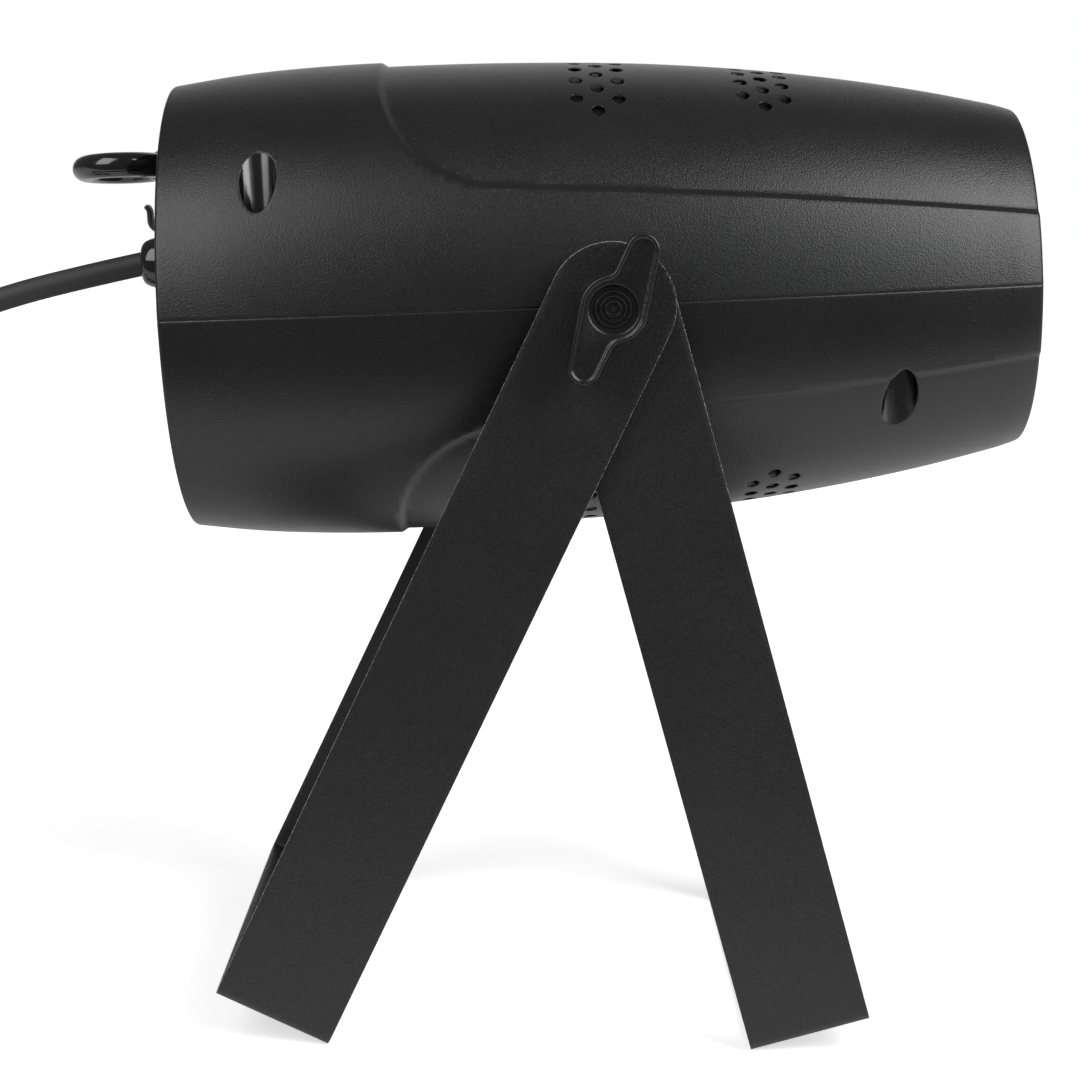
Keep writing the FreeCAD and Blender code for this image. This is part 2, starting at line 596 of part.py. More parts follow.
def moulding():
    """One half of the housing. The lower shell is the same moulding turned over about the axis."""
    form = revolved("housing_form", "0", outline_shares, True)
    sunk = revolved("sunk_form", "panel_step", outline_shares, True)
    hollow = revolved("hollow_form", "shell_wall", outline_shares[::2], False)
    edge = revolved("seam_form", "seam_depth", outline_shares[::2], False)
    half = box(
        "half_space",
        ("-rear_length - overrun", "rear_length + front_length + 2*overrun"),
        ("-body_r - overrun", "2*body_r + 2*overrun"),
        ("0", "body_r + overrun"),
    )
    solid = common("half_form", cut("sunk_panels", form, cut("panel_tool", panel_region(), sunk)), half)
    skin = cut("skin", solid, hollow)
    added = [
        ring("rear_rib_ring", "X", PANEL_BACK, "0", "0", REAR_RIB_R, "body_r", "rear_rib"),
        ring("front_rib_ring", "X", LENS_RIB_X, "0", "0", "lens_open_r", "body_r", "front_rib"),
    ]
    holes = []
    for end, x, y in (("rear", REAR_WELL_X, REAR_WELL_Y), ("front", FRONT_WELL_X, FRONT_WELL_Y)):
        well_y = f"-{y}" if end == "rear" else y
        post_y = y if end == "rear" else f"-{y}"
        added.append(rod(f"{end}_well_boss", "Z", x, well_y, "0", "well_r + well_wall", "body_r"))
        added.append(rod(f"{end}_post", "Z", x, post_y, "0", "post_r", "body_r"))
        holes.append(rod(f"{end}_well", "Z", x, well_y, "well_floor", "well_r", "body_r"))
        holes.append(rod(f"{end}_screw_way", "Z", x, well_y, "-overrun", "screw_r + screw_play", "body_r"))
        holes.append(rod(f"{end}_pilot", "Z", x, post_y, "-overrun", "screw_r", "screw_bite + 2*overrun"))
    for i, turn in enumerate((45, 135)):
        spot = (f"{PANEL_SCREW_RING}*cos({turn})", f"{PANEL_SCREW_RING}*sin({turn})")
        holes.append(rod(f"panel_pilot_{i}", "X", PANEL_BACK, *spot, "small_screw_r", "rear_rib"))
    core = common("half_core", revolved("core_form", "shell_wall/2", outline_shares[::2], False), half)
    inside = common("inner_features", fuse("ribs_and_posts", *added), core)
    bosses = fuse(
        "pivot_bosses",
        rod("boss_left", "Y", "0", BOSS_INNER, "0", "pivot_boss_r", "boss_depth"),
        rod("boss_right", "Y", "0", f"-{BOSS_FACE}", "0", "pivot_boss_r", "boss_depth"),
    )
    outside = common("half_bosses", bosses, half)
    slab = box(
        "seam_slab",
        ("-rear_length - overrun", "rear_length + front_length + 2*overrun"),
        (f"-{BOSS_FACE} - overrun", f"2*{BOSS_FACE} + 2*overrun"),
        ("-overrun", "overrun + seam_gap/2"),
    )
    groove = cut("seam_groove", slab, edge)
    stud_way = rod(
        "stud_way",
        "Y",
        "0",
        f"-{BOSS_FACE} - overrun",
        "0",
        "pivot_hole_r",
        f"2*{BOSS_FACE} + 2*overrun",
    )
    whole = fuse("shell_solid", skin, inside, outside)
    tools = group("shell_tools", groove, stud_way, vent_drills(), *holes)
    return cut("shell_moulding", whole, tools)


def shells():
    shape = moulding()
    turned_over = IN_LAMP.multiply(Placement(Vector(0, 0, 0), Rotation(Vector(1, 0, 0), 180)))
    node("upper_shell", group("upper_shell_piece", shape))
    node("lower_shell", group("lower_shell_piece", shape), turned_over)
    screws = []
    for end, x, y, side in (
        ("rear_top", REAR_WELL_X, f"-{REAR_WELL_Y}", 1),
        ("front_top", FRONT_WELL_X, FRONT_WELL_Y, 1),
        ("rear_low", REAR_WELL_X, REAR_WELL_Y, -1),
        ("front_low", FRONT_WELL_X, f"-{FRONT_WELL_Y}", -1),
    ):
        length = "well_floor + screw_bite"
        start = "-screw_bite" if side > 0 else "-well_floor"
        head = "well_floor" if side > 0 else "-well_floor - screw_head"
        shank = rod(end + "_shank", "Z", x, y, start, "screw_r", length)
        cap = rod(end + "_head", "Z", x, y, head, "screw_head_r", "screw_head")
        screws.append(fuse(end + "_screw", shank, cap))
    node("shell_screws", group("shell_screws_piece", *screws))


def rear_panel():
    """The round rear panel with its openings, and the screws that hold it."""
    disc = rod("rear_disc", "X", REAR_FACE, "0", "0", PANEL_R, "panel_wall")
    start = f"{REAR_FACE} - overrun"
    depth = "panel_wall + 2*overrun"
    tools = [
        mid_box(
            "display_opening",
            (start, depth),
            "0",
            "display_half_y + window_play",
            "display_z",
            "display_half_z + window_play",
        ),
        rod("gland_way", "X", start, "gland_y", "gland_z", "gland_thread_r + screw_play", depth),
        rod("eye_way", "X", start, "0", "eye_z", "eye_shank_r + screw_play", depth),
        rod("input_way", "X", start, "input_y", "socket_z", "barrel_r + barrel_play", depth),
        rod("output_way", "X", start, "output_y", "socket_z", "barrel_r + barrel_play", depth),
    ]
    for i in range(4):
        spot = f"{i - 1.5}*button_pitch"
        tools.append(rod(f"button_way_{i}", "X", start, spot, "button_z", "button_r + button_play", depth))
    tab_z = "socket_z + tab_root_z"
    tools.append(
        mid_box("tab_way", (start, depth), "output_y", "tab_half_y + tab_slot", tab_z, "tab_pin_r + tab_slot")
    )
    screws = []
    for i in range(4):
        turn = 45 + 90 * i
        y = f"{PANEL_SCREW_RING}*cos({turn})"
        z = f"{PANEL_SCREW_RING}*sin({turn})"
        tools.append(rod(f"panel_screw_way_{i}", "X", start, y, z, "small_screw_r + screw_play", depth))
        shank = rod(f"panel_shank_{i}", "X", REAR_FACE, y, z, "small_screw_r", "panel_wall + rear_rib")
        head = rod(f"panel_head_{i}", "X", f"{REAR_FACE} - small_head", y, z, "small_head_r", "small_head")
        screws.append(fuse(f"panel_screw_{i}", shank, head))
    node("rear_panel", cut("rear_panel_piece", disc, group("rear_panel_tools", *tools)))
    node("rear_panel_screws", group("rear_panel_screws_piece", *screws))


def lens_end():
    """The plano-convex lens on its gasket, and the screwed ring that keeps it."""
    seat = f"({LENS_RIB_X} + front_rib)"
    node("lens_gasket", ring("gasket", "X", seat, "0", "0", "lens_open_r", "lens_r", "gasket_wall"))
    crown_r = "((lens_r^2 + lens_crown^2)/(2*lens_crown))"
    front = f"({LENS_BACK} + lens_edge)"
    blank = rod("lens_blank", "X", LENS_BACK, "0", "0", "lens_r", "lens_edge + lens_crown")
    ball = add("Part::Sphere", "lens_ball", Radius=crown_r)
    put(ball, f"{front} + lens_crown - {crown_r}", "0", "0", ALONG["X"])
    node("front_lens", common("front_lens_piece", blank, ball))
    lip_x = f"({front} + lens_lift)"
    bore_r = "(lens_r + ring_play)"
    body = turned(
        "lens_ring_piece",
        (
            (seat, bore_r),
            (lip_x, bore_r),
            (lip_x, "ring_lip_r"),
            (f"{lip_x} + ring_lip", "ring_lip_r + ring_lip/2"),
            (f"{lip_x} + ring_lip", "ring_r"),
            (seat, "ring_r"),
        ),
    )
    ways = []
    screws = []
    for i in range(3):
        y = f"ring_screw_ring*cos({90 + 120 * i})"
        z = f"ring_screw_ring*sin({90 + 120 * i})"
        face = f"({lip_x} + ring_lip)"
        ways.append(
            rod(f"ring_way_{i}", "X", seat, y, z, "small_screw_r + screw_play", f"{face} - {seat} + overrun")
        )
        shank = rod(f"ring_shank_{i}", "X", seat, y, z, "small_screw_r", f"{face} - {seat}")
        head = rod(f"ring_head_{i}", "X", face, y, z, "small_head_r - screw_play", "small_head")
        screws.append(fuse(f"ring_screw_{i}", shank, head))
    node("lens_ring", cut("lens_ring_drilled", body, group("lens_ring_ways", *ways)))
    node("lens_ring_screws", group("lens_ring_screws_piece", *screws))


def optics():
    """The lens tube, the LED on its board and the collimator in its holder."""
    rear = PLATE_FRONT
    neck = f"({LENS_RIB_X} - tube_wall)"
    tube = turned(
        "lens_tube_piece",
        (
            (rear, "tube_root_r - tube_wall"),
            (neck, "lens_open_r - tube_wall"),
            (LENS_RIB_X, "lens_open_r - tube_wall"),
            (LENS_RIB_X, "tube_flange_r"),
            (neck, "tube_flange_r"),
            (neck, "lens_open_r"),
            (rear, "tube_root_r"),
        ),
    )
    node("lens_tube", tube)
    face = f"({rear} + led_board_wall)"
    node("led_board", rod("led_board_disc", "X", rear, "0", "0", "led_board_r", "led_board_wall"))
    node("led_emitter", rod("led_dome", "X", face, "0", "0", "led_r", "led_rise"))
    front = f"({face} + led_rise + collimator_depth)"
    holder = turned(
        "collimator_holder_piece",
        (
            (face, "holder_r - holder_wall"),
            (front, "holder_r - holder_wall"),
            (front, "holder_r"),
            (face, "holder_r"),
        ),
    )
    node("collimator_holder", holder)
    optic = cone(
        "collimator_cone",
        "X",
        f"{face} + led_rise",
        "0",
        "0",
        "collimator_root_r",
        "holder_r - holder_wall",
        "collimator_depth",
    )
    node("collimator", optic)


def cooling():
    """The finned heat sink behind the chassis plate, and the fan on its fins."""
    half = "sink_size/2"
    depth = "sink_depth - sink_base"
    parts = [mid_box("sink_base_plate", ("plate_x - sink_base", "sink_base"), "0", half, "0", half)]
    fins = int(size("sink_fins"))
    for i in range(fins):
        y = f"(sink_size - fin_wall)*({i / (fins - 1) - 0.5})"
        parts.append(mid_box(f"fin_{i}", (FAN_FRONT, depth), y, "fin_wall/2", "0", half))
    node("heat_sink", fuse("heat_sink_piece", *parts))
    frame = mid_box("fan_block", (FAN_REAR, "fan_depth"), "0", "fan_size/2", "0", "fan_size/2")
    duct = rod("fan_duct", "X", f"{FAN_REAR} - overrun", "0", "0", "fan_bore_r", "fan_depth + 2*overrun")
    plate = rod("fan_motor_plate", "X", FAN_REAR, "0", "0", "fan_hub_r", "fan_plate")
    struts = fuse(
        "fan_struts",
        plate,
        mid_box("strut_across", (FAN_REAR, "fan_plate"), "0", "fan_bore_r + overrun", "0", "fan_strut/2"),
        mid_box("strut_up", (FAN_REAR, "fan_plate"), "0", "fan_strut/2", "0", "fan_bore_r + overrun"),
    )
    bearing = rod(
        "fan_bearing", "X", f"{FAN_REAR} - overrun", "0", "0", "fan_shaft_r + shaft_play", "fan_depth"
    )
    ways = []
    screws = []
    for y in (-1, 1):
        for z in (-1, 1):
            spot = (f"{y}*fan_screw_at", f"{z}*fan_screw_at")
            tag = f"{y + 1}{z + 1}"
            ways.append(
                rod(
                    "fan_way_" + tag,
                    "X",
                    f"{FAN_REAR} - overrun",
                    *spot,
                    "small_screw_r + screw_play",
                    "2*fan_depth",
                )
            )
            shank = rod("fan_shank_" + tag, "X", FAN_REAR, *spot, "small_screw_r", "fan_depth")
            head = rod(
                "fan_head_" + tag, "X", f"{FAN_REAR} - small_head", *spot, "small_head_r", "small_head"
            )
            screws.append(fuse("fan_screw_" + tag, shank, head))
    open_frame = fuse("fan_open_frame", cut("fan_ring", frame, duct), struts)
    node("fan_frame", cut("fan_frame_piece", open_frame, group("fan_ways", bearing, *ways)))
    node("fan_screws", group("fan_screws_piece", *screws))
    node("fan_rotor", rotor())


def rotor():
    """The fan's hub, its shaft and its pitched blades."""
    rear = f"({FAN_REAR} + fan_plate + fan_blade_play)"
    depth = f"({FAN_FRONT} - {rear} - fan_blade_play)"
    hub = rod("rotor_hub", "X", rear, "0", "0", "fan_hub_r", depth)
    shaft = rod("rotor_shaft", "X", FAN_REAR, "0", "0", "fan_shaft_r", f"{rear} - {FAN_REAR} + overrun")
    reach = size("fan_bore_r - fan_blade_play")
    chord = size(depth) / math.cos(math.radians(size("blade_pitch")))
    middle = size(rear) + size(depth) / 2
    count = int(size("fan_blades"))
    blades = []
    for i in range(count):
        blade = Part.makeBox(chord, size("blade_wall"), reach, Vector(-chord / 2, -size("blade_wall") / 2, 0))
        blade.rotate(Vector(0, 0, 0), Vector(0, 0, 1), size("blade_pitch"))
        blade.translate(Vector(middle, 0, 0))
        blade.rotate(Vector(0, 0, 0), Vector(1, 0, 0), 360 * i / count)
        blades.append(blade)
    sweep = rod("rotor_sweep", "X", rear, "0", "0", "fan_bore_r - fan_blade_play", depth)
    trimmed = common("rotor_blades", fixed("blade_blanks", blades[0].multiFuse(blades[1:])), sweep)
    return fuse("fan_rotor_piece", hub, shaft, trimmed)


def chassis():
    """Folded sheet: a cross plate, a tab to each pivot and a shelf for the driver board."""
    plate = mid_box("cross_plate", ("plate_x", "sheet"), "0", "plate_half_y", "0", "plate_half_z")
    arms = mid_box("cross_arms", ("plate_x", "sheet"), "0", BOSS_INNER, "0", "tab_half")
    tab = ("-tab_half", f"tab_half + {PLATE_FRONT}")
    tab_z = ("-tab_half", "2*tab_half")
    left = box("tab_left", tab, (f"{BOSS_INNER} - sheet", "sheet"), tab_z)
    right = box("tab_right", tab, (f"-{BOSS_INNER}", "sheet"), tab_z)
    shelf = mid_box(
        "shelf", (SHELF_REAR, f"{PLATE_FRONT} - {SHELF_REAR}"), "0", "shelf_half_y", SHELF_Z, "0"
    )
    shelf.setExpression("Height", full("sheet"))
    way = rod("chassis_way", "Y", "0", f"-{BOSS_FACE}", "0", "pivot_hole_r", f"2*{BOSS_FACE}")
    core = cut("chassis_frame_piece", fuse("chassis_sheet", plate, arms, left, right, shelf), way)
    node("chassis_frame", core)
    nuts = []
    for side, start in (("left", f"{BOSS_INNER} - sheet - nut_depth"), ("right", f"sheet - {BOSS_INNER}")):
        blank = hexagon(side + "_nut_blank", "Y", "0", start, "0", "nut_flat_r", "nut_depth")
        thread = rod(
            side + "_nut_way", "Y", "0", f"{start} - overrun", "0", "stud_r + stud_play", "2*nut_depth"
        )
        nuts.append(cut(side + "_nut", blank, thread))
    node("pivot_nuts", group("pivot_nuts_piece", *nuts))


def boards():
    """The driver board on its standoffs, and the control board behind the rear panel."""
    deck = f"({SHELF_Z} + sheet)"
    under = f"({deck} + standoff_rise)"
    length = f"{DRIVER_FRONT} - {DRIVER_REAR}"
    board = mid_box("driver_slab", (DRIVER_REAR, length), "0", "driver_half_y", under, "0")
    board.setExpression("Height", full("board_wall"))
    node("driver_board", board)
    posts = []
    for i, x in enumerate((f"{DRIVER_REAR} + standoff_inset", f"{DRIVER_FRONT} - standoff_inset")):
        for j, side in enumerate(("-", "")):
            y = f"{side}(driver_half_y - standoff_inset)"
            posts.append(rod(f"driver_post_{i}{j}", "Z", x, y, deck, "standoff_r", "standoff_rise"))
    node("driver_standoffs", group("driver_standoffs_piece", *posts))
    top = f"({under} + board_wall)"
    middle = f"({DRIVER_REAR} + {DRIVER_FRONT})/2"
    start = f"{middle} - coil_block/2"
    block = box(
        "transformer",
        (start, "coil_block"),
        ("-cap_play - coil_block", "coil_block"),
        (top, "coil_block_rise"),
    )
    caps = [
        rod(f"capacitor_{i}", "Z", middle, f"{2 * i + 1}*(cap_r + cap_play)", top, "cap_r", "cap_rise")
        for i in range(2)
    ]
    node("driver_parts", group("driver_parts_piece", block, *caps))
    low = "(control_top - control_height)"
    control = box(
        "control_slab",
        (BOARD_X, "board_wall"),
        ("-control_half_y", "2*control_half_y"),
        (low, "control_height"),
    )
    node("control_board", control)
    pillars = []
    for i, side in enumerate(("-", "")):
        for j, z in enumerate((f"{low} + standoff_r", "control_top - standoff_r")):
            y = f"{side}(control_half_y - standoff_r)"
            pillars.append(rod(f"control_post_{i}{j}", "X", PANEL_BACK, y, z, "standoff_r", "control_gap"))
    node("control_standoffs", group("control_standoffs_piece", *pillars))


def display_and_buttons():
    """The display behind its window, and four buttons over their push switches."""
    tall = "display_half_z + display_rim"
    wide = "display_half_y + display_rim"
    node(
        "display_module", mid_box("display_block", (PANEL_BACK, "control_gap"), "0", wide, "display_z", tall)
    )
    window = mid_box(
        "display_pane", (REAR_FACE, "panel_wall"), "0", "display_half_y", "display_z", "display_half_z"
    )
    node("display_window", window)
    switches = []
    for i, label in enumerate(("menu_button", "down_button", "up_button", "enter_button")):
        y = f"{1.5 - i}*button_pitch"
        switches.append(
            mid_box(
                f"switch_{i}",
                (f"{BOARD_X} - switch_rise", "switch_rise"),
                y,
                "switch_half",
                "button_z",
                "switch_half",
            )
        )
        proud = f"({REAR_FACE} - button_proud)"
        skirt_x = f"({PANEL_BACK} + button_play)"
        end = f"({BOARD_X} - switch_rise - button_travel)"
        cap = rod(
            f"button_cap_{i}", "X", proud, y, "button_z", "button_r", f"{skirt_x} - {proud} + button_skirt"
        )
        skirt = rod(f"button_skirt_{i}", "X", skirt_x, y, "button_z", "button_skirt_r", "button_skirt")
        stem = rod(f"button_stem_{i}", "X", skirt_x, y, "button_z", "button_stem_r", f"{end} - {skirt_x}")
        node(label, fuse(label + "_piece", cap, skirt, stem))
    node("button_switches", group("button_switches_piece", *switches))


def socket_body(name, y, extra):
    """A flanged data socket, less what opens in its face."""
    flange = mid_box(
        name + "_flange", (FLANGE_X, "flange_wall"), y, "flange_half_y", "socket_z", "flange_half_z"
    )
    barrel = rod(name + "_barrel", "X", FLANGE_X, y, "socket_z", "barrel_r", "flange_wall + barrel_depth")
    return cut(name + "_piece", fuse(name + "_block", flange, barrel), group(name + "_tools", *extra))


def around(y, turn):
    """A spot on the pin circle of the socket at y."""
    return (f"{y} + pin_circle*sin({turn})", f"socket_z + pin_circle*cos({turn})")


def sockets():
    """The data input with its pins, and the data output with its release tab."""
    face = f"{FLANGE_X} - overrun"
    cup = rod("input_cup", "X", face, "input_y", "socket_z", "cup_r", "cup_depth + overrun")
    node("data_input", socket_body("data_input", "input_y", [cup]))
    floor = f"({FLANGE_X} + cup_depth)"
    pins = [
        rod(f"pin_{turn}", "X", f"{floor} - pin_length", *around("input_y", turn), "pin_r", "pin_length")
        for turn in (60, 180, 300)
    ]
    node("data_input_pins", group("data_input_pins_piece", *pins))
    groove = ring(
        "output_groove", "X", face, "output_y", "socket_z", "groove_r", "cup_r", "groove_depth + overrun"
    )
    holes = [
        rod(f"contact_{turn}", "X", face, *around("output_y", turn), "contact_r", "groove_depth + overrun")
        for turn in (0, 120, 240)
    ]
    tab_z = "socket_z + tab_root_z"
    slot = mid_box(
        "tab_slot_box",
        (face, "flange_wall + 2*overrun"),
        "output_y",
        "tab_half_y + tab_slot",
        tab_z,
        "tab_pin_r + tab_slot",
    )
    node("data_output", socket_body("data_output", "output_y", [groove, slot, *holes]))
    screws = []
    for y in ("input_y", "output_y"):
        for side in (-1, 1):
            spot = (
                f"{y} + {side}*(flange_half_y - small_head_r - screw_play)",
                f"socket_z - {side}*(flange_half_z - small_head_r - screw_play)",
            )
            screws.append(
                rod(
                    f"socket_screw_{y}_{side + 1}",
                    "X",
                    f"{FLANGE_X} - small_head",
                    *spot,
                    "small_head_r",
                    "small_head",
                )
            )
    node("socket_screws", group("socket_screws_piece", *screws))
    node("release_tab", release_tab())


def release_tab():
    """A curved lever on a pin in the output's flange, rising as it leans out."""
    root = Vector(
        size(f"{FLANGE_X} + flange_wall/2"), size("output_y - tab_half_y"), size("socket_z + tab_root_z")
    )
    tip = Vector(size(f"{FLANGE_X} - tab_proud"), root.y, root.z + size("tab_rise"))
    sag = Vector(-size("tab_wall"), 0, -size("tab_wall"))
    middle = (root + tip) * 0.5 + sag
    half = size("tab_wall") / 2
    across = (tip - root).cross(Vector(0, 1, 0)).normalize() * half
    edges = [
        Part.Arc(root - across, middle - across, tip - across).toShape(),
        Part.makeLine(tip - across, tip + across),
        Part.Arc(tip + across, middle + across, root + across).toShape(),
        Part.makeLine(root + across, root - across),
    ]
    outline = fixed("tab_outline", Part.Wire(edges))
    lever = document.addObject("Part::Extrusion", "tab_lever")
    lever.Base = outline
    lever.DirMode = "Custom"
    lever.Dir = Vector(0, 1, 0)
    lever.Solid = True
    lever.setExpression("LengthFwd", full("2*tab_half_y"))
    x = f"{FLANGE_X} + flange_wall/2"
    pin = rod(
        "tab_pin", "Y", x, "output_y - tab_half_y", "socket_z + tab_root_z", "tab_pin_r", "2*tab_half_y"
    )
    return fuse("release_tab_piece", lever, pin)


def gland_and_eye():
    """The cable gland with its locknut, and the safety eye with its nut."""
    spot = ("gland_y", "gland_z")
    hexed = hexagon("gland_hex_block", "X", f"{REAR_FACE} - gland_hex", *spot, "gland_hex_r", "gland_hex")
    thread = rod("gland_thread_rod", "X", REAR_FACE, *spot, "gland_thread_r", "gland_thread")
    node("gland_body", fuse("gland_body_piece", hexed, thread))
    ball = add("Part::Sphere", "dome_ball", Radius="dome_r")
    root = f"({REAR_FACE} - gland_hex)"
    put(ball, root, *spot)
    block = rod("dome_block", "X", f"{root} - dome_length", *spot, "dome_r", "dome_length")
    mouth = rod(
        "dome_mouth", "X", f"{root} - dome_length - overrun", *spot, "dome_mouth_r", "mouth_depth + overrun"
    )
    node("gland_dome", cut("gland_dome_piece", common("dome_form", ball, block), mouth))
    blank = hexagon("locknut_blank", "X", PANEL_BACK, *spot, "locknut_r", "locknut")
    way = rod("locknut_way", "X", f"{PANEL_BACK} - overrun", *spot, "gland_thread_r", "locknut + 2*overrun")
    node("gland_locknut", cut("gland_locknut_piece", blank, way))
    flats = [22.5 + 45 * i for i in range(8)]
    hoop = turned("eye_hoop", [(f"eye_wire_r*cos({a})", f"eye_ring_r + eye_wire_r*sin({a})") for a in flats])
    lying = Rotation(Vector(1, 0, 0), -size("eye_turn")).multiply(ALONG["X"])
    middle = f"{REAR_FACE} - eye_out + eye_ring_r + eye_wire_r"
    put(hoop, middle, "0", "eye_z", lying)
    neck = cone(
        "eye_collar", "X", f"{REAR_FACE} - eye_neck", "0", "eye_z", "eye_neck_r", "eye_collar_r", "eye_neck"
    )
    hollow = rod("eye_inside", "Z", middle, "0", "0", "eye_ring_r", "2*eye_z")
    shank = rod("eye_shank_rod", "X", REAR_FACE, "0", "eye_z", "eye_shank_r", "eye_shank")
    node("safety_eye", fuse("safety_eye_piece", hoop, cut("eye_neck_cut", neck, hollow), shank))
    nut = hexagon("eye_nut_blank", "X", PANEL_BACK, "0", "eye_z", "eye_nut_r", "eye_nut")
    hole = rod(
        "eye_nut_way", "X", f"{PANEL_BACK} - overrun", "0", "eye_z", "eye_shank_r", "eye_nut + 2*overrun"
    )
    node("eye_nut", cut("eye_nut_piece", nut, hole))


def bracket(name, face, reach, place):
    """A strip bent to a U, its arms round-ended at the pivot, hanging straight down."""
    outer = box(
        name + "_outer",
        ("-arm_width/2", "arm_width"),
        (f"-{face} - strip_wall", f"2*{face} + 2*strip_wall"),
        (f"-{reach}", f"{reach} + arm_width/2"),
    )
    inner = box(
        name + "_inner",
        ("-arm_width/2 - overrun", "arm_width + 2*overrun"),
        (f"-{face}", f"2*{face}"),
        (f"-{reach} + strip_wall", f"{reach} + arm_width"),
    )

    def low_bend(edge):
        spots = [v.Point for v in edge.Vertexes]
        low = all(p.z < 0 for p in spots)
        return low and abs(spots[0].y - spots[1].y) < 1 and abs(spots[0].x - spots[1].x) > 1

    strap = cut(
        name + "_strap",
        rounded(name + "_outer_bend", outer, "bend_r + strip_wall", low_bend),
        rounded(name + "_inner_bend", inner, "bend_r", low_bend),
    )
    depth = (f"-{face} - 2*strip_wall", f"2*{face} + 4*strip_wall")
    side = fuse(
        name + "_side_view",
        box(name + "_side_box", ("-arm_width/2", "arm_width"), depth, (f"-{reach}", reach)),
        rod(name + "_side_end", "Y", "0", depth[0], "0", "arm_width/2", depth[1]),
    )
    holes = group(
        name + "_holes",
        rod(name + "_pivot_way", "Y", "0", depth[0], "0", "pivot_hole_r", depth[1]),
        rod(
            name + "_hang_way", "Z", "0", "0", f"-{reach} - overrun", "hang_hole_r", "strip_wall + 2*overrun"
        ),
    )
    node(name, cut(name + "_piece", common(name + "_form", strap, side), holes), place)


def brackets():
    """The outer bracket leans back and the inner one forward, until both stand on the surface."""
    back = Placement(PIVOT, Rotation(Vector(0, 1, 0), size("outer_lean")))
    half = "(arm_width/2)"
    diagonal = f"sqrt({INNER_REACH}^2 + {half}^2)"
    lean = size(f"acos({STAND_HEIGHT}/{diagonal}) + atan({half}/{INNER_REACH})")
    ahead = Placement(PIVOT, Rotation(Vector(0, 1, 0), -lean))
    print("the inner bracket leans forward", round(lean, 3), "degrees")
    bracket("outer_bracket", OUTER_FACE, "outer_reach", back)
    bracket("inner_bracket", INNER_FACE, INNER_REACH, ahead)
    upright = Placement(PIVOT, UPRIGHT)
    left = ring("left_pad", "Y", "0", FRICTION_FACE, "0", "pivot_hole_r", "friction_r", "friction_wall")
    right_y = f"-{FRICTION_FACE} - friction_wall"
    right = ring("right_pad", "Y", "0", right_y, "0", "pivot_hole_r", "friction_r", "friction_wall")
    node("friction_washers", group("friction_washers_piece", left, right), upright)


def knob_wire(inset):
    """The outline of a wing knob seen from outside, moved in by an inset."""
    hub = size("knob_hub_r") - inset
    tip_r = size("knob_tip_r") - inset
    tip = Vector(size("knob_tip_x"), size("knob_tip_z"), 0)
    aim = math.atan2(tip.y, tip.x)
    outer = aim - math.acos((hub - tip_r) / tip.Length)
    inner = math.radians(size("knob_flank"))

    def polar(radius, angle):
        return Vector(radius * math.cos(angle), radius * math.sin(angle), 0)

    start = polar(hub, outer)
    wing_out = tip + polar(tip_r, outer)
    wing_end = tip + polar(tip_r, aim)
    wing_in = tip + polar(tip_r, inner)
    down = Vector(math.sin(inner), -math.cos(inner), 0)
    if down.dot(wing_in) > 0:
        down = down * -1
    along = wing_in.dot(down)
    run = -along - math.sqrt(along * along - wing_in.dot(wing_in) + hub * hub)
    meet = wing_in + down * run
    far = -math.pi + outer
    meets_at = math.atan2(meet.y, meet.x)
    between = polar(hub, (meets_at + far + math.tau) / 2)
    half = [
        Part.makeLine(start, wing_out),
        Part.Arc(wing_out, wing_end, wing_in).toShape(),
        Part.makeLine(wing_in, meet),
        Part.Arc(meet, between, start * -1).toShape(),
    ]
    turned_half = []
    for edge in half:
        copy = edge.copy()
        copy.rotate(Vector(0, 0, 0), Vector(0, 0, 1), 180)
        turned_half.append(copy)
    return Part.Wire(half + turned_half)


def raised(name, outline, start, length):
    """A prism over an outline in the xy plane."""
    made = document.addObject("Part::Extrusion", name)
    made.Base = outline
    made.DirMode = "Custom"
    made.Dir = Vector(0, 0, 1)
    made.Solid = True
    made.setExpression("LengthFwd", full(length))
    made.setExpression("Placement.Base.z", full(start))
    return made


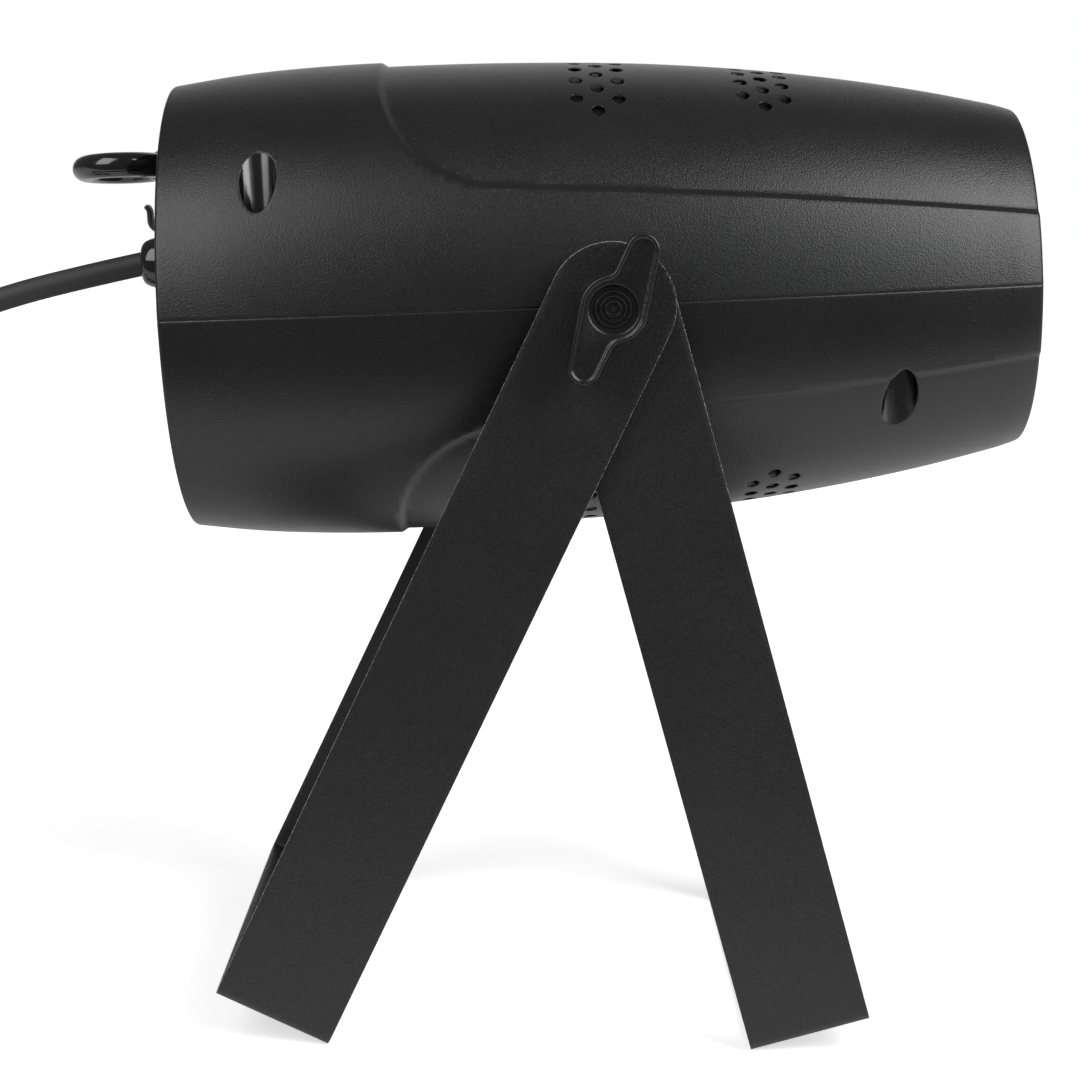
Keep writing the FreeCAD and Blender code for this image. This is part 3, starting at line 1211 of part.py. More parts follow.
def knobs():
    """A wing knob on a stud with its captive washer, on each side of the pivot."""
    rise = "knob_rise"
    plate_rise = f"{rise} - knob_foot - knob_bead_rise"
    plate = raised("knob_plate", fixed("knob_outline", knob_wire(0)), "knob_foot", plate_rise)

    def neck(edge):
        spots = [v.Point for v in edge.Vertexes]
        upright = (spots[0] - spots[1]).cross(Vector(0, 0, 1)).Length < 1e-6
        at = math.hypot(spots[0].x, spots[0].y)
        return upright and abs(at - size("knob_hub_r")) < 1e-3 and abs(spots[0].x) < size("knob_hub_r") / 2

    wings = rounded("knob_necks", plate, "knob_neck_r", neck)
    bead_z = f"{rise} - knob_bead_rise"
    rim = raised("knob_rim", fixed("knob_rim_outline", knob_wire(0)), bead_z, "knob_bead_rise")
    bed_outline = fixed("knob_bed_outline", knob_wire(size("knob_bead")))
    bed = raised("knob_bed", bed_outline, f"{bead_z} - overrun", "knob_bead_rise + 2*overrun")
    foot = rod("knob_foot_rod", "Z", "0", "0", "0", "knob_foot_r", "knob_foot")
    dish_z = f"{bead_z} - knob_dish"
    dish = rod("knob_dish_rod", "Z", "0", "0", dish_z, "knob_dish_r", "knob_dish + overrun")
    grip = rod("knob_grip", "Z", "0", "0", "-overrun", "stud_r", "stud_grip + overrun")
    solid = fuse("knob_solid", wings, cut("knob_bead_ring", rim, bed), foot)
    shape = cut("knob_piece", solid, group("knob_tools", dish, grip))
    reach = size(KNOB_FACE)
    right = Placement(PIVOT + Vector(0, -reach, 0), Rotation(Vector(1, 0, 0), 90))
    facing = Rotation(Vector(0, 0, 1), 180).multiply(Rotation(Vector(1, 0, 0), 90))
    left = Placement(PIVOT + Vector(0, reach, 0), facing)
    stud = rod(
        "stud_rod",
        "Z",
        "0",
        "0",
        f"{STUD_INNER} - {KNOB_FACE}",
        "stud_r",
        f"{KNOB_FACE} - {STUD_INNER} + stud_grip",
    )
    washer = ring(
        "captive_ring", "Z", "0", "0", "-captive_wall", "stud_r + stud_play", "captive_r", "captive_wall"
    )
    for side, place in (("right", right), ("left", left)):
        node(side + "_knob", group(side + "_knob_group", shape), place)
        node(side + "_stud", group(side + "_stud_group", stud), place)
        node(side + "_washer", group(side + "_washer_group", washer), place)


def bent_path(points):
    """Straight runs joined by tangent arcs, each as large as its two runs allow."""
    spots = [Vector(*p) for p in points]
    edges = []
    radii = []
    length = 0.0
    last = spots[0]
    for a, b, c in zip(spots, spots[1:], spots[2:]):
        before = (a - b).normalize()
        after = (c - b).normalize()
        half_turn = (math.pi - before.getAngle(after)) / 2
        trim = bend_share * min((a - b).Length, (c - b).Length)
        radius = trim / math.tan(half_turn)
        start = b + before * trim
        end = b + after * trim
        inward = (before + after).normalize()
        middle = b + inward * (radius / math.cos(half_turn) - radius)
        edges.append(Part.makeLine(last, start))
        edges.append(Part.Arc(start, middle, end).toShape())
        radii.append(round(radius, 1))
        last = end
    edges.append(Part.makeLine(last, spots[-1]))
    length = sum(edge.Length for edge in edges)
    return Part.Wire(edges), radii, length


def sweep(name, path, radius):
    """A tube of eight flats along a path, with its volume compared with section times length."""
    sides = 8
    first = path.Edges[0]
    start = first.valueAt(first.FirstParameter)
    heading = first.tangentAt(first.FirstParameter)
    across = heading.cross(Vector(0, 0, 1)).normalize()
    upward = across.cross(heading)
    turns = [math.tau * (k + 0.5) / sides for k in range(sides)]
    corners = [start + (across * math.cos(a) + upward * math.sin(a)) * radius for a in turns]
    section = Part.makePolygon(corners + corners[:1])
    tube = path.makePipeShell([section], True, False)
    if tube.ShapeType != "Solid":
        tube = Part.Solid(tube)
    expected = Part.Face(section).Area * path.Length
    print(
        name,
        "length",
        round(path.Length, 1),
        "volume over section times length",
        round(tube.Volume / expected, 4),
    )
    return tube


def arc_to(start, heading, end):
    """The arc that leaves a point along a heading and ends at another point, and its end heading."""
    chord = end - start
    along = heading.dot(chord)
    leaving = math.acos(max(-1.0, min(1.0, along / chord.Length)))
    sideways = heading - chord * (along / chord.dot(chord))
    if sideways.Length < 1e-9:
        return Part.makeLine(start, end)
    middle = (start + end) * 0.5 + sideways.normalize() * (chord.Length / 2 * math.tan(leaving / 2))
    return Part.Arc(start, middle, end).toShape()


def biarc(start, leaving, end, arriving):
    """Two tangent arcs between two points with a heading at each."""
    gap = end - start
    both = leaving + arriving
    square = 2 * (1 - leaving.dot(arriving))
    linear = gap.dot(both)
    if square < 1e-9:
        reach = gap.dot(gap) / (2 * linear)
    else:
        reach = (math.sqrt(linear * linear + square * gap.dot(gap)) - linear) / square
    joint = (start + end + (leaving - arriving) * reach) * 0.5
    first = arc_to(start, leaving, joint)
    second = arc_to(end, arriving * -1, joint)
    return [first, second]


def coil_point(turn):
    """The cord's centre line in the coil: in on the lower layer, up, and out on the upper."""
    turns = size("coil_turns")
    climb = 0.5
    spiral = (turns - climb) / 2
    inner = size("coil_inner_r")
    outer = size("coil_outer_r")
    low = size("cord_r + tie_wall + tie_play")
    if turn <= spiral:
        radius = outer + (inner - outer) * turn / spiral
        height = low
    elif turn <= spiral + climb:
        radius = inner
        part = (turn - spiral) / climb
        height = low + size("coil_layer") * (1 - math.cos(math.pi * part)) / 2
    else:
        radius = inner + (outer - inner) * (turn - spiral - climb) / spiral
        height = low + size("coil_layer")
    angle = math.pi / 2 - math.tau * turn
    return Vector(
        size("coil_x") + radius * math.cos(angle), size("coil_y") + radius * math.sin(angle), height
    )


def coil_path():
    """The coil's line as biarcs of a quarter turn, with a straight lead at each end."""
    step = 0.25
    tiny = 1e-5
    turns = size("coil_turns")
    count = round(turns / step)
    spots = []
    for i in range(count + 1):
        turn = i * step
        before = coil_point(max(0.0, turn - tiny))
        after = coil_point(min(turns, turn + tiny))
        spots.append((coil_point(turn), (after - before).normalize()))
    level = Vector(1, 0, 0)
    first = (spots[0][0], level)
    last = (spots[-1][0], level * -1)
    spots[0] = first
    spots[-1] = last
    lead = size("coil_lead")
    edges = [Part.makeLine(first[0] - level * lead, first[0])]
    for (a, heading), (b, next_heading) in zip(spots, spots[1:]):
        edges += biarc(a, heading, b, next_heading)
    edges.append(Part.makeLine(last[0], last[0] - level * lead))
    return Part.Wire(Part.sortEdges(edges)[0])


def least_gap(path, radius):
    """The least clear distance between stretches of a path over half a turn apart."""
    spots = path.discretize(Number=600)
    step = path.Length / (len(spots) - 1)
    apart = int(math.pi * size("coil_inner_r") / step)
    least = min(
        (spots[i] - spots[j]).Length for i in range(len(spots)) for j in range(i + apart, len(spots))
    )
    return least - 2 * radius


def cord():
    """The mains cord from the gland to its put-away coil, the strap round that, and the plug."""
    radius = size("cord_r")
    mouth = Vector(size(f"{REAR_FACE} - gland_hex - dome_length"), size("gland_y"), size("gland_z"))
    mouth = IN_LAMP.multVec(mouth)
    leaving = [tuple(mouth + Vector(*step)) for step in LEAVING_ROUTE]
    path, radii, length = bent_path((*leaving, *LANDING_ROUTE))
    print("cord bend radii", radii, "length", round(length, 1))
    node("mains_cord", fixed("mains_cord_piece", sweep("mains_cord", path, radius)), IN_PLACE)
    coil = coil_path()
    print("coil least gap", round(least_gap(coil, radius), 2))
    node("cord_coil", fixed("cord_coil_piece", sweep("cord_coil", coil, radius)), IN_PLACE)
    tail, radii, length = bent_path(TAIL_ROUTE)
    print("tail bend radii", radii, "length", round(length, 1))
    node("cord_tail", fixed("cord_tail_piece", sweep("cord_tail", tail, radius)), IN_PLACE)
    play = "(cord_r + tie_play)"
    start = f"(coil_x - coil_outer_r - {play})"
    wide = f"(coil_outer_r - coil_inner_r + 2*{play} + coil_lead)"
    tall = f"(coil_layer + 2*{play})"
    outer = box(
        "tie_outer",
        (f"{start} - tie_wall", f"{wide} + 2*tie_wall"),
        ("coil_y - tie_width/2", "tie_width"),
        ("0", f"{tall} + 2*tie_wall"),
    )
    inner = box(
        "tie_inner",
        (start, wide),
        ("coil_y - tie_width/2 - overrun", "tie_width + 2*overrun"),
        ("tie_wall", tall),
    )
    node("cord_tie", cut("cord_tie_piece", outer, inner), IN_PLACE)
    plug()


def plug():
    """The mains plug, lying on the surface at the end of the cord, and its pins."""
    grip_x = "(plug_face + plug_grip)"
    neck_x = f"({grip_x} + plug_neck)"
    end = f"({neck_x} + relief_length)"
    body = turned(
        "mains_plug_piece",
        (
            ("0", "0"),
            ("0", "plug_r"),
            ("plug_face", "plug_r"),
            (grip_x, "plug_grip_r"),
            (neck_x, "plug_neck_r"),
            (end, "relief_r"),
            (end, "0"),
        ),
    )
    entry = Vector(*TAIL_ROUTE[-1])
    place = Placement(Vector(entry.x - size(end), entry.y, entry.z), UPRIGHT)
    node("mains_plug", body, place)
    pins = [
        rod(f"mains_pin_{i}", "X", "-plug_pin", f"{side}plug_pin_at", "0", "plug_pin_r", "plug_pin")
        for i, side in enumerate(("-", ""))
    ]
    node("plug_pins", group("plug_pins_piece", *pins), place)


def check(made):
    """Stops if an object failed or a sub-part's shape isn't sound."""
    for thing in document.Objects:
        if "Invalid" in thing.State or "Error" in thing.State:
            raise RuntimeError(f"{thing.Name} failed: {thing.State}")
    for piece in made:
        if piece.Shape.isNull() or not piece.Shape.isValid() or not piece.Shape.Solids:
            raise RuntimeError(f"{piece.Label} has no sound solid")


shells()
rear_panel()
lens_end()
optics()
cooling()
chassis()
boards()
display_and_buttons()
sockets()
gland_and_eye()
brackets()
knobs()
cord()
document.removeObject(reader.Name)
document.recompute()
check(nodes)
os.makedirs("parts", exist_ok=True)
for piece in nodes:
    piece.Shape.exportStep(os.path.join("parts", piece.Label + ".step"))
print(len(nodes), "sub-parts written")
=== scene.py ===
import json
import math

import bmesh
import bpy
import numpy as np
from mathutils import Matrix, Vector


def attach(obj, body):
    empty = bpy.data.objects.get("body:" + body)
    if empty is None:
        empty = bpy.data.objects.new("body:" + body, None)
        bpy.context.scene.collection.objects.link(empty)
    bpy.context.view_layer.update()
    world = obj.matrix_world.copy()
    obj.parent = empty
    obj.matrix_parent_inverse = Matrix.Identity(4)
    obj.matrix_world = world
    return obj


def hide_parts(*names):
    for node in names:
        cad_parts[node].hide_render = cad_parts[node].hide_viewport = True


# The looks of a pinspot light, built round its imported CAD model. Sizes are in millimetres
# until a piece is placed. The lamp's own frame has x towards the lens, z up and the bracket
# pivot at its origin; LAMP tilts it and lifts it to its place.

MM = 0.001
PIVOT = Vector((17.35, 0.0, 211.52))
LAMP_TILT = math.radians(3.616)
OUTER_LEAN = math.radians(23.94)
INNER_LEAN = math.radians(-16.948)

IN_METRES = Matrix.Scale(MM, 4)
AT_PIVOT = IN_METRES @ Matrix.Translation(PIVOT)
LAMP = AT_PIVOT @ Matrix.Rotation(-LAMP_TILT, 4, "Y")
TURNED_OVER = LAMP @ Matrix.Rotation(math.pi, 4, "X")

# The camera, as fitted to the photograph: millimetres from the pivot, and radians.
CAMERA_FROM_PIVOT = Vector((-20.857, -744.533, 38.715))
CAMERA_YAW = math.radians(0.250)
CAMERA_PITCH = math.radians(8.781)
CAMERA_ROLL = math.radians(1.445)
LENS_MM = 81.97
SENSOR_MM = 36.0
CAMERA_REACH = 20.0

# The studio, in metres and watts. A light is its place, its width, its height and its power.
AIM = (0.0, 0.0, 0.2)
LIGHTS = {
    "left_softbox": ((-0.84, -0.86, 0.98), 0.8, 1.2, 11.0),
    "right_softbox": ((0.97, -0.68, 0.96), 0.9, 1.25, 20.0),
    "back_fill": ((0.0, 1.2, 1.3), 1.0, 0.4, 0.6),
}
FLOOR_Z = 0.0
FLOOR_FRONT = -0.24
FLOOR_REACH = 6.0
FLOOR_WHITE = (0.9, 0.9, 0.9, 1.0)
FLOOR_MIRRORED = 0.2
GLOW_NEAR = 0.35
GLOW_FAR = 1.3
GLOW_LEAST = 0.6
ROOM_WHITE = (1.0, 1.0, 1.0, 1.0)
ROOM_LIGHT = 0.13
ROOM_BEHIND = 0.8

# The mains cord's route, the same points as the CAD's, with the coil's turns worked out between.
CORD_DROP = (
    (-115.25, -30.0, 218.2),
    (-131.0, -30.0, 214.4),
    (-156.0, -30.0, 207.6),
    (-189.0, -31.0, 195.0),
    (-221.0, -35.0, 171.0),
    (-247.0, -38.0, 134.0),
    (-267.0, -27.0, 92.0),
    (-281.0, -1.0, 56.0),
    (-283.0, 30.0, 25.0),
    (-266.0, 51.0, 7.4),
)
CORD_TAIL = (
    (-252.0, -41.2, 13.0),
    (-271.0, -42.5, 18.2),
    (-288.0, -42.5, 18.5),
)
CORD_R = 3.5
COIL_CENTRE = Vector((-228.5, 6.0, 0.0))
COIL_TURNS = 4.5
COIL_CLIMB = 0.5
COIL_STEPS = 72
COIL_INNER_R = 29.3
COIL_OUTER_R = 47.0
COIL_LOW = 4.4
COIL_LAYER = 7.7
TIE_PLAY = 0.5
TIE_TAIL = 7.0
TIE_LOW = 0.4
TIE_ROUND = 3.0
TIE_WALL = 0.8
PLUG_LENGTH = 64.0

# The housing: its outline as shares of its length with a radius for each, its panels, its holes.
REAR = -125.3
FRONT = 122.2
OUTLINE = (
    (0.0000, 65.70),
    (0.0820, 68.28),
    (0.1830, 69.85),
    (0.2840, 70.26),
    (0.4254, 69.80),
    (0.5871, 67.75),
    (0.7487, 63.30),
    (0.8901, 57.34),
    (1.0000, 51.20),
)
WALL = 3.0
LIP_LENGTH = 6.5
LIP_TURN = 0.55
PANEL_STEP = 1.2
PANEL_CENTRE = (-28.4, 68.2)
PANEL_CURVE_R = 34.4
PANEL_FOOT_Z = 33.8
PANEL_NOSE = (124.2, 20.3)
PANEL_BOW = 1.0
STEP_HALF = 1.0
STEP_LEVELS = (-1.0, -0.72, -0.42, -0.14, 0.14, 0.42, 0.72, 1.0)
SEAM_DRAFT = 5.0
SEAM_REACH = 0.28
SEAM_ROUND = 0.45
SEAM_DROP = 0.3
RIM_ROUND_REAR = 0.9
RIM_ROUND_FRONT = 0.7
RIM_DROP_SHARE = 0.8
HOLE_ROUND = 0.25
HOLE_DROP = 0.16
VENT_R = 1.9
VENT_COLUMN = 6.0
VENTS = ((-1.0, 9.5), (46.5, 8.15))
WELLS = ((-96.3, -57.5), (81.4, 50.3))
WELL_R = 5.2
WELL_FLOOR = 9.0
WELL_TUBE = 2.4
WELL_EDGE = 1.6
HOLES_ABOVE = 15.0
FAR_AWAY = 99.0
BOSS_R = 14.0
BOSS_FACE = 71.4
BOSS_BACK = 64.0
BOSS_BORE_R = 4.6
BOSS_SIDE = 50.0

# The housing's mesh: where its rings and its turns lie, and how finely it's cut round the holes.
RIM_STEPS = (0.0, 0.25, 0.6, 1.2)
RINGS_FROM = 2.4
RINGS = 122
SEAM_STEPS = (0.0, 0.0018, 0.0045, 0.009)
TURNS_FROM = 0.02
TURNS = 108
FINE_REACH = 2.2
VENT_REACH = 0.3
WELL_REACH = 2.0
SNAP = 0.03

# The brackets and the knobs.
ARM_HALF = 17.5
STRIP = 2.0
BEND_R = 1.5
OUTER_REACH = 223.66
INNER_REACH = 215.79
INNER_FACE = 71.5
OUTER_FACE = 74.7
PIVOT_HOLE_R = 4.3
HANG_HOLE_R = 5.25
# Width of the brackets' bevelled edges. The bevels are painted pale, as worn bare metal and as a painted
# highlight along the edges.
EDGE_BAND_WIDTH = 0.3
KNOB_FACE = 78.0
KNOB_RISE = 13.0
KNOB_HUB_R = 9.2
KNOB_TIP_R = 4.5
KNOB_NECK_R = 3.0
KNOB_TIP = (7.4, 15.9)
KNOB_FLANK = math.radians(156.0)
KNOB_RIDGES = ((5.2, 5.0, 4.6, 4.35), (3.9, 3.65, 3.25, 3.0), (2.5, 2.3, 1.9, 1.65))
KNOB_FOOT = 4.6
KNOB_FOOT_R = 8.0
KNOB_BORE_R = 4.05

# The fittings at the rear: the safety eye, the gland and the data output's release lever.
EYE_CENTRE = (-142.6, 0.0, 42.3)
EYE_R = 11.4
EYE_BAR_R = 3.7
EYE_TURN = math.radians(-5.0)
GLAND_X = -126.9
GLAND_DOME = 6.9
GLAND_MOUTH_R = 4.1
GLAND_ROUND = 3.4
GLAND_AXIS = (0.0, -30.0, 14.8)
TAB_ROOT = (-124.0, 23.2)
TAB_Y = 6.0
TAB_REACH = 9.2
TAB_BEND = 3.2
TAB_RISE = 2.2
TAB_CURL_R = 2.6
TAB_CURL = math.radians(55.0)
TAB_WALL = 1.3

# Moulded and turned CAD nodes whose edges are eased, with the easing's width.
EASED = {
    "rear_panel": 0.3,
    "data_input": 0.25,
    "data_output": 0.25,
    "display_window": 0.2,
    "menu_button": 0.25,
    "down_button": 0.25,
    "up_button": 0.25,
    "enter_button": 0.25,
    "lens_ring": 0.35,
    "gland_body": 0.2,
    "plug_pins": 0.3,
}
WELD_GAP = 0.002


def shader(name):
    """A new material with its node tree, its Principled shader and a node maker."""
    made = bpy.data.materials.new(name)
    made.use_nodes = True
    tree = made.node_tree
    principled = tree.nodes["Principled BSDF"]

    def node(kind, **values):
        new = tree.nodes.new(kind)
        for key, value in values.items():
            if key in new.inputs:
                new.inputs[key].default_value = value
            else:
                setattr(new, key.lower(), value)
        return new

    return made, tree, principled, node


def noise(tree, scale, detail):
    """Noise over the object's own coordinates, at a scale per metre."""
    where = tree.nodes.new("ShaderNodeTexCoord")
    new = tree.nodes.new("ShaderNodeTexNoise")
    new.inputs["Scale"].default_value = scale
    new.inputs["Detail"].default_value = detail
    tree.links.new(where.outputs["Object"], new.inputs["Vector"])
    return new.outputs["Fac"]


def ranged(tree, value, low, high, start=0.0, end=1.0, kind="LINEAR"):
    """A value that runs from low to high while the given one runs from start to end."""
    new = tree.nodes.new("ShaderNodeMapRange")
    new.interpolation_type = kind
    for key, number in (("From Min", start), ("From Max", end), ("To Min", low), ("To Max", high)):
        new.inputs[key].default_value = number
    tree.links.new(value, new.inputs["Value"])
    return new.outputs["Result"]


def surface(
    name,
    colour,
    rough,
    grain_mm,
    grain,
    vary=0.12,
    metal=0.0,
    coat=0.0,
    fleck=0.0,
    speckle=0.0,
):
    """A surface with fine grain, a slow drift in colour and roughness, and a few dust flecks.
    The grain is as wide and as high as given, in millimetres. Vary is how far the colour drifts,
    speckle how far it changes from spot to spot, and fleck how strong the dust is."""
    made, tree, principled, node = shader(name)
    link = tree.links.new
    principled.inputs["Metallic"].default_value = metal
    principled.inputs["Coat Weight"].default_value = coat
    principled.inputs["Coat Roughness"].default_value = 0.08
    drift = noise(tree, 38.0, 4.0)
    tint = node("ShaderNodeVectorMath", operation="SCALE")
    tint.inputs[0].default_value = colour
    link(ranged(tree, drift, 1.0 - vary, 1.0 + vary), tint.inputs["Scale"])
    paint = tint.outputs[0]
    if speckle:
        dots = ranged(tree, noise(tree, 1600.0, 1.0), 1.0 - speckle, 1.0 + speckle, 0.3, 0.7)
        both = node("ShaderNodeVectorMath", operation="SCALE")
        link(paint, both.inputs[0])
        link(dots, both.inputs["Scale"])
        paint = both.outputs[0]
    if fleck:
        paint = dusted(tree, node, paint, fleck)
    link(paint, principled.inputs["Base Color"])
    link(ranged(tree, drift, rough - 0.05, rough + 0.05), principled.inputs["Roughness"])
    bump = node("ShaderNodeBump", Strength=1.0, Distance=grain * MM)
    link(noise(tree, 1.0 / (grain_mm * MM), 2.0), bump.inputs["Height"])
    link(bump.outputs["Normal"], principled.inputs["Normal"])
    return made


def dusted(tree, node, paint, strength):
    """A colour with pale flecks of dust scattered over it."""
    dust = node("ShaderNodeTexVoronoi", Scale=210.0, Randomness=1.0)
    tree.links.new(node("ShaderNodeTexCoord").outputs["Object"], dust.inputs["Vector"])
    spot = ranged(tree, dust.outputs["Distance"], 0.0, 1.0, 0.045, 0.015)
    weight = node("ShaderNodeMath", operation="MULTIPLY")
    weight.inputs[1].default_value = strength
    tree.links.new(spot, weight.inputs[0])
    mix = node("ShaderNodeMix", data_type="RGBA")
    mix.inputs["B"].default_value = (0.32, 0.31, 0.3, 1.0)
    tree.links.new(weight.outputs[0], mix.inputs["Factor"])
    tree.links.new(paint, mix.inputs["A"])
    return mix.outputs["Result"]


def clear(name, colour, rough, ior):
    """A clear material with faint streaks in its polish."""
    made, tree, principled, _ = shader(name)
    principled.inputs["Base Color"].default_value = (*colour, 1.0)
    principled.inputs["Transmission Weight"].default_value = 1.0
    principled.inputs["IOR"].default_value = ior
    polish = ranged(tree, noise(tree, 60.0, 3.0), rough, rough + 0.03)
    tree.links.new(polish, principled.inputs["Roughness"])
    return made


def well_wall():
    """A well's moulded wall, polished up and down, so that its highlights run along it."""
    made, tree, principled, node = shader("well_gloss")
    link = tree.links.new
    principled.inputs["Specular IOR Level"].default_value = 1.0
    principled.inputs["Anisotropic"].default_value = 0.85
    principled.inputs["Anisotropic Rotation"].default_value = 0.25
    drift = noise(tree, 240.0, 2.0)
    # The wall is darker than the housing: moulded black plastic, painted darker still as the shade inside the
    # well.
    link(ranged(tree, drift, 0.003, 0.007), principled.inputs["Base Color"])
    link(ranged(tree, drift, 0.2, 0.26), principled.inputs["Roughness"])
    round_it = node("ShaderNodeTangent", direction_type="RADIAL", axis="Z")
    link(round_it.outputs["Tangent"], principled.inputs["Tangent"])
    return made


def make_materials():
    """One material for each of the record's slots, and two for details."""
    return {
        "housing_plastic": surface(
            "abs_grained", (0.0105, 0.0106, 0.011), 0.31, 0.42, 0.105, 0.14, fleck=0.25, speckle=0.3
        ),
        "panel_plastic": surface("panel_black", (0.02, 0.02, 0.021), 0.42, 0.5, 0.06),
        "ring_plastic": surface("ring_black", (0.017, 0.017, 0.018), 0.34, 0.4, 0.06),
        "knob_plastic": surface(
            "knob_nylon", (0.0105, 0.0105, 0.011), 0.24, 0.45, 0.05, fleck=0.12, speckle=0.3
        ),
        "black_screw": surface("screw_black", (0.03, 0.03, 0.032), 0.36, 0.6, 0.04, metal=0.7),
        "lens_glass": clear("lens_clear", (0.96, 0.97, 0.98), 0.01, 1.52),
        "clear_plastic": clear("acrylic_clear", (0.95, 0.96, 0.97), 0.03, 1.49),
        "gasket_rubber": surface("rubber_soft", (0.03, 0.03, 0.031), 0.75, 0.6, 0.06),
        "bracket_paint": surface(
            "powder_coat", (0.0105, 0.0105, 0.011), 0.42, 0.5, 0.14, 0.1, fleck=0.16, speckle=0.45
        ),
        "eye_steel": surface("enamel_black", (0.009, 0.009, 0.01), 0.16, 2.0, 0.024, coat=0.6),
        "zinc_steel": surface("zinc_bright", (0.6, 0.6, 0.58), 0.32, 0.7, 0.04, metal=1.0),
        "raw_aluminium": surface("aluminium_raw", (0.7, 0.71, 0.72), 0.38, 0.7, 0.05, metal=1.0),
        "board_green": surface("solder_mask", (0.015, 0.09, 0.035), 0.35, 0.9, 0.04),
        "led_yellow": surface("led_phosphor", (0.75, 0.55, 0.12), 0.4, 0.5, 0.02),
        "part_black": surface("part_black", (0.022, 0.022, 0.023), 0.45, 0.5, 0.06),
        "display_tint": surface("display_tint", (0.02, 0.012, 0.012), 0.08, 0.5, 0.004, coat=0.5),
        "button_plastic": surface("button_satin", (0.045, 0.045, 0.048), 0.4, 0.4, 0.06),
        "contact_metal": surface("contact_plate", (0.72, 0.66, 0.5), 0.25, 0.5, 0.024, metal=1.0),
        "tab_grey": surface("tab_grey", (0.06, 0.06, 0.061), 0.45, 0.4, 0.05),
        "gland_plastic": surface("gland_nylon", (0.012, 0.012, 0.0125), 0.13, 3.0, 0.02, coat=0.4),
        "cord_sheath": surface("cord_sheath", (0.036, 0.036, 0.038), 0.6, 0.4, 0.02),
        "tie_strap": surface("strap_weave", (0.016, 0.016, 0.017), 0.85, 0.7, 0.16),
        "plug_rubber": surface("plug_rubber", (0.022, 0.022, 0.023), 0.55, 0.5, 0.07),
        # Bare metal at the brackets' worn edges, painted paler still so that it also stands in for their
        # highlight.
        "worn_edge_highlight": surface("worn_edge_highlight", (0.4, 0.4, 0.404), 0.4, 0.5, 0.06, 0.4, speckle=0.9),
        "well_gloss": well_wall(),
    }


def new_object(name, data):
    """A new object of the scene that shows some data."""
    made = bpy.data.objects.new(name, data)
    bpy.context.scene.collection.objects.link(made)
    return made


def smooth(mesh, degrees=35.0):
    """Smooth shading that keeps edges sharper than an angle."""
    mesh.shade_smooth()
    mesh.set_sharp_from_angle(angle=math.radians(degrees))


def piece(name, mesh, slot, body="lamp", at=LAMP, nodes=(), extra=()):
    """Places a mesh, gives it its materials if it has none, and lets it ride on a body."""
    mesh.transform(at)
    smooth(mesh)
    made = new_object(name, mesh)
    if not mesh.materials:
        for key in (slot, *extra):
            mesh.materials.append(materials[key])
    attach(made, body)
    if nodes:
        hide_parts(*nodes)
    return made


def to_mesh(name, bm):
    """A mesh made of a bmesh, with its faces turned outwards."""
    bmesh.ops.recalc_face_normals(bm, faces=bm.faces)
    mesh = bpy.data.meshes.new(name)
    bm.to_mesh(mesh)
    bm.free()
    return mesh


def applied(mesh, kind, settings):
    """The mesh after a modifier of some kind."""
    holder = new_object("holder", mesh)
    modifier = holder.modifiers.new(kind.lower(), kind)
    for key, value in settings.items():
        setattr(modifier, key, value)
    bpy.context.view_layer.update()
    seen = holder.evaluated_get(bpy.context.evaluated_depsgraph_get())
    result = bpy.data.meshes.new_from_object(seen)
    result.name = mesh.name
    bpy.data.objects.remove(holder)
    bpy.data.meshes.remove(mesh)
    return result


def thickened(mesh, wall, even=False):
    """The mesh of a sheet with some thickness, half of it to each side."""
    return applied(mesh, "SOLIDIFY", {"thickness": wall, "offset": 0.0, "use_even_offset": even})


def bevelled(mesh, width, segments=2, degrees=40.0, material=-1):
    """The mesh with its sharp edges rounded, the new faces in a material slot of their own or not."""
    settings = {
        "width": width,
        "segments": segments,
        "limit_method": "ANGLE",
        "angle_limit": math.radians(degrees),
        "material": material,
        "use_clamp_overlap": True,
    }
    return applied(mesh, "BEVEL", settings)


def grid(us, vs, place):
    """A bmesh grid over two lists of numbers, each corner placed by a function."""
    bm = bmesh.new()
    rows = [[bm.verts.new(place(u, v)) for v in vs] for u in us]
    for near, far in zip(rows, rows[1:]):
        for i in range(len(vs) - 1):
            bm.faces.new((near[i], far[i], far[i + 1], near[i + 1]))
    return bm


def lathe(name, outline, around="X", segments=64, shift=(0.0, 0.0, 0.0)):
    """Turns an outline of (along, radius) corners about an axis."""
    bm = bmesh.new()
    turn = [math.tau * k / segments for k in range(segments)]
    rings = []
    for along, radius in outline:
        if radius == 0.0:
            rings.append([bm.verts.new((along, 0.0, 0.0))])
        else:
            rings.append([bm.verts.new((along, radius * math.cos(a), radius * math.sin(a))) for a in turn])
    for near, far in zip(rings, rings[1:]):
        count = max(len(near), len(far))
        for k in range(count):
            after = (k + 1) % count
            corners = [near[k % len(near)], far[k % len(far)], far[after % len(far)], near[after % len(near)]]
            corners = list(dict.fromkeys(corners))
            if len(corners) > 2:
                bm.faces.new(corners)
    turned = {
        "X": Matrix.Identity(4),
        "Y": Matrix.Rotation(math.pi / 2, 4, "Z"),
        "Z": Matrix.Rotation(-math.pi / 2, 4, "Y"),
    }
    bmesh.ops.transform(bm, matrix=Matrix.Translation(shift) @ turned[around], verts=bm.verts)
    return to_mesh(name, bm)


def coordinates(bm):
    """The places of a bmesh's corners, as an array."""
    return np.array([v.co for v in bm.verts])


def middles(faces):
    """The middles of some faces, as an array."""
    return np.array([f.calc_center_median() for f in faces])


def moved_corners(made):
    """The corners among what a bmesh operation made."""
    return [g for g in made["geom"] if isinstance(g, bmesh.types.BMVert)]


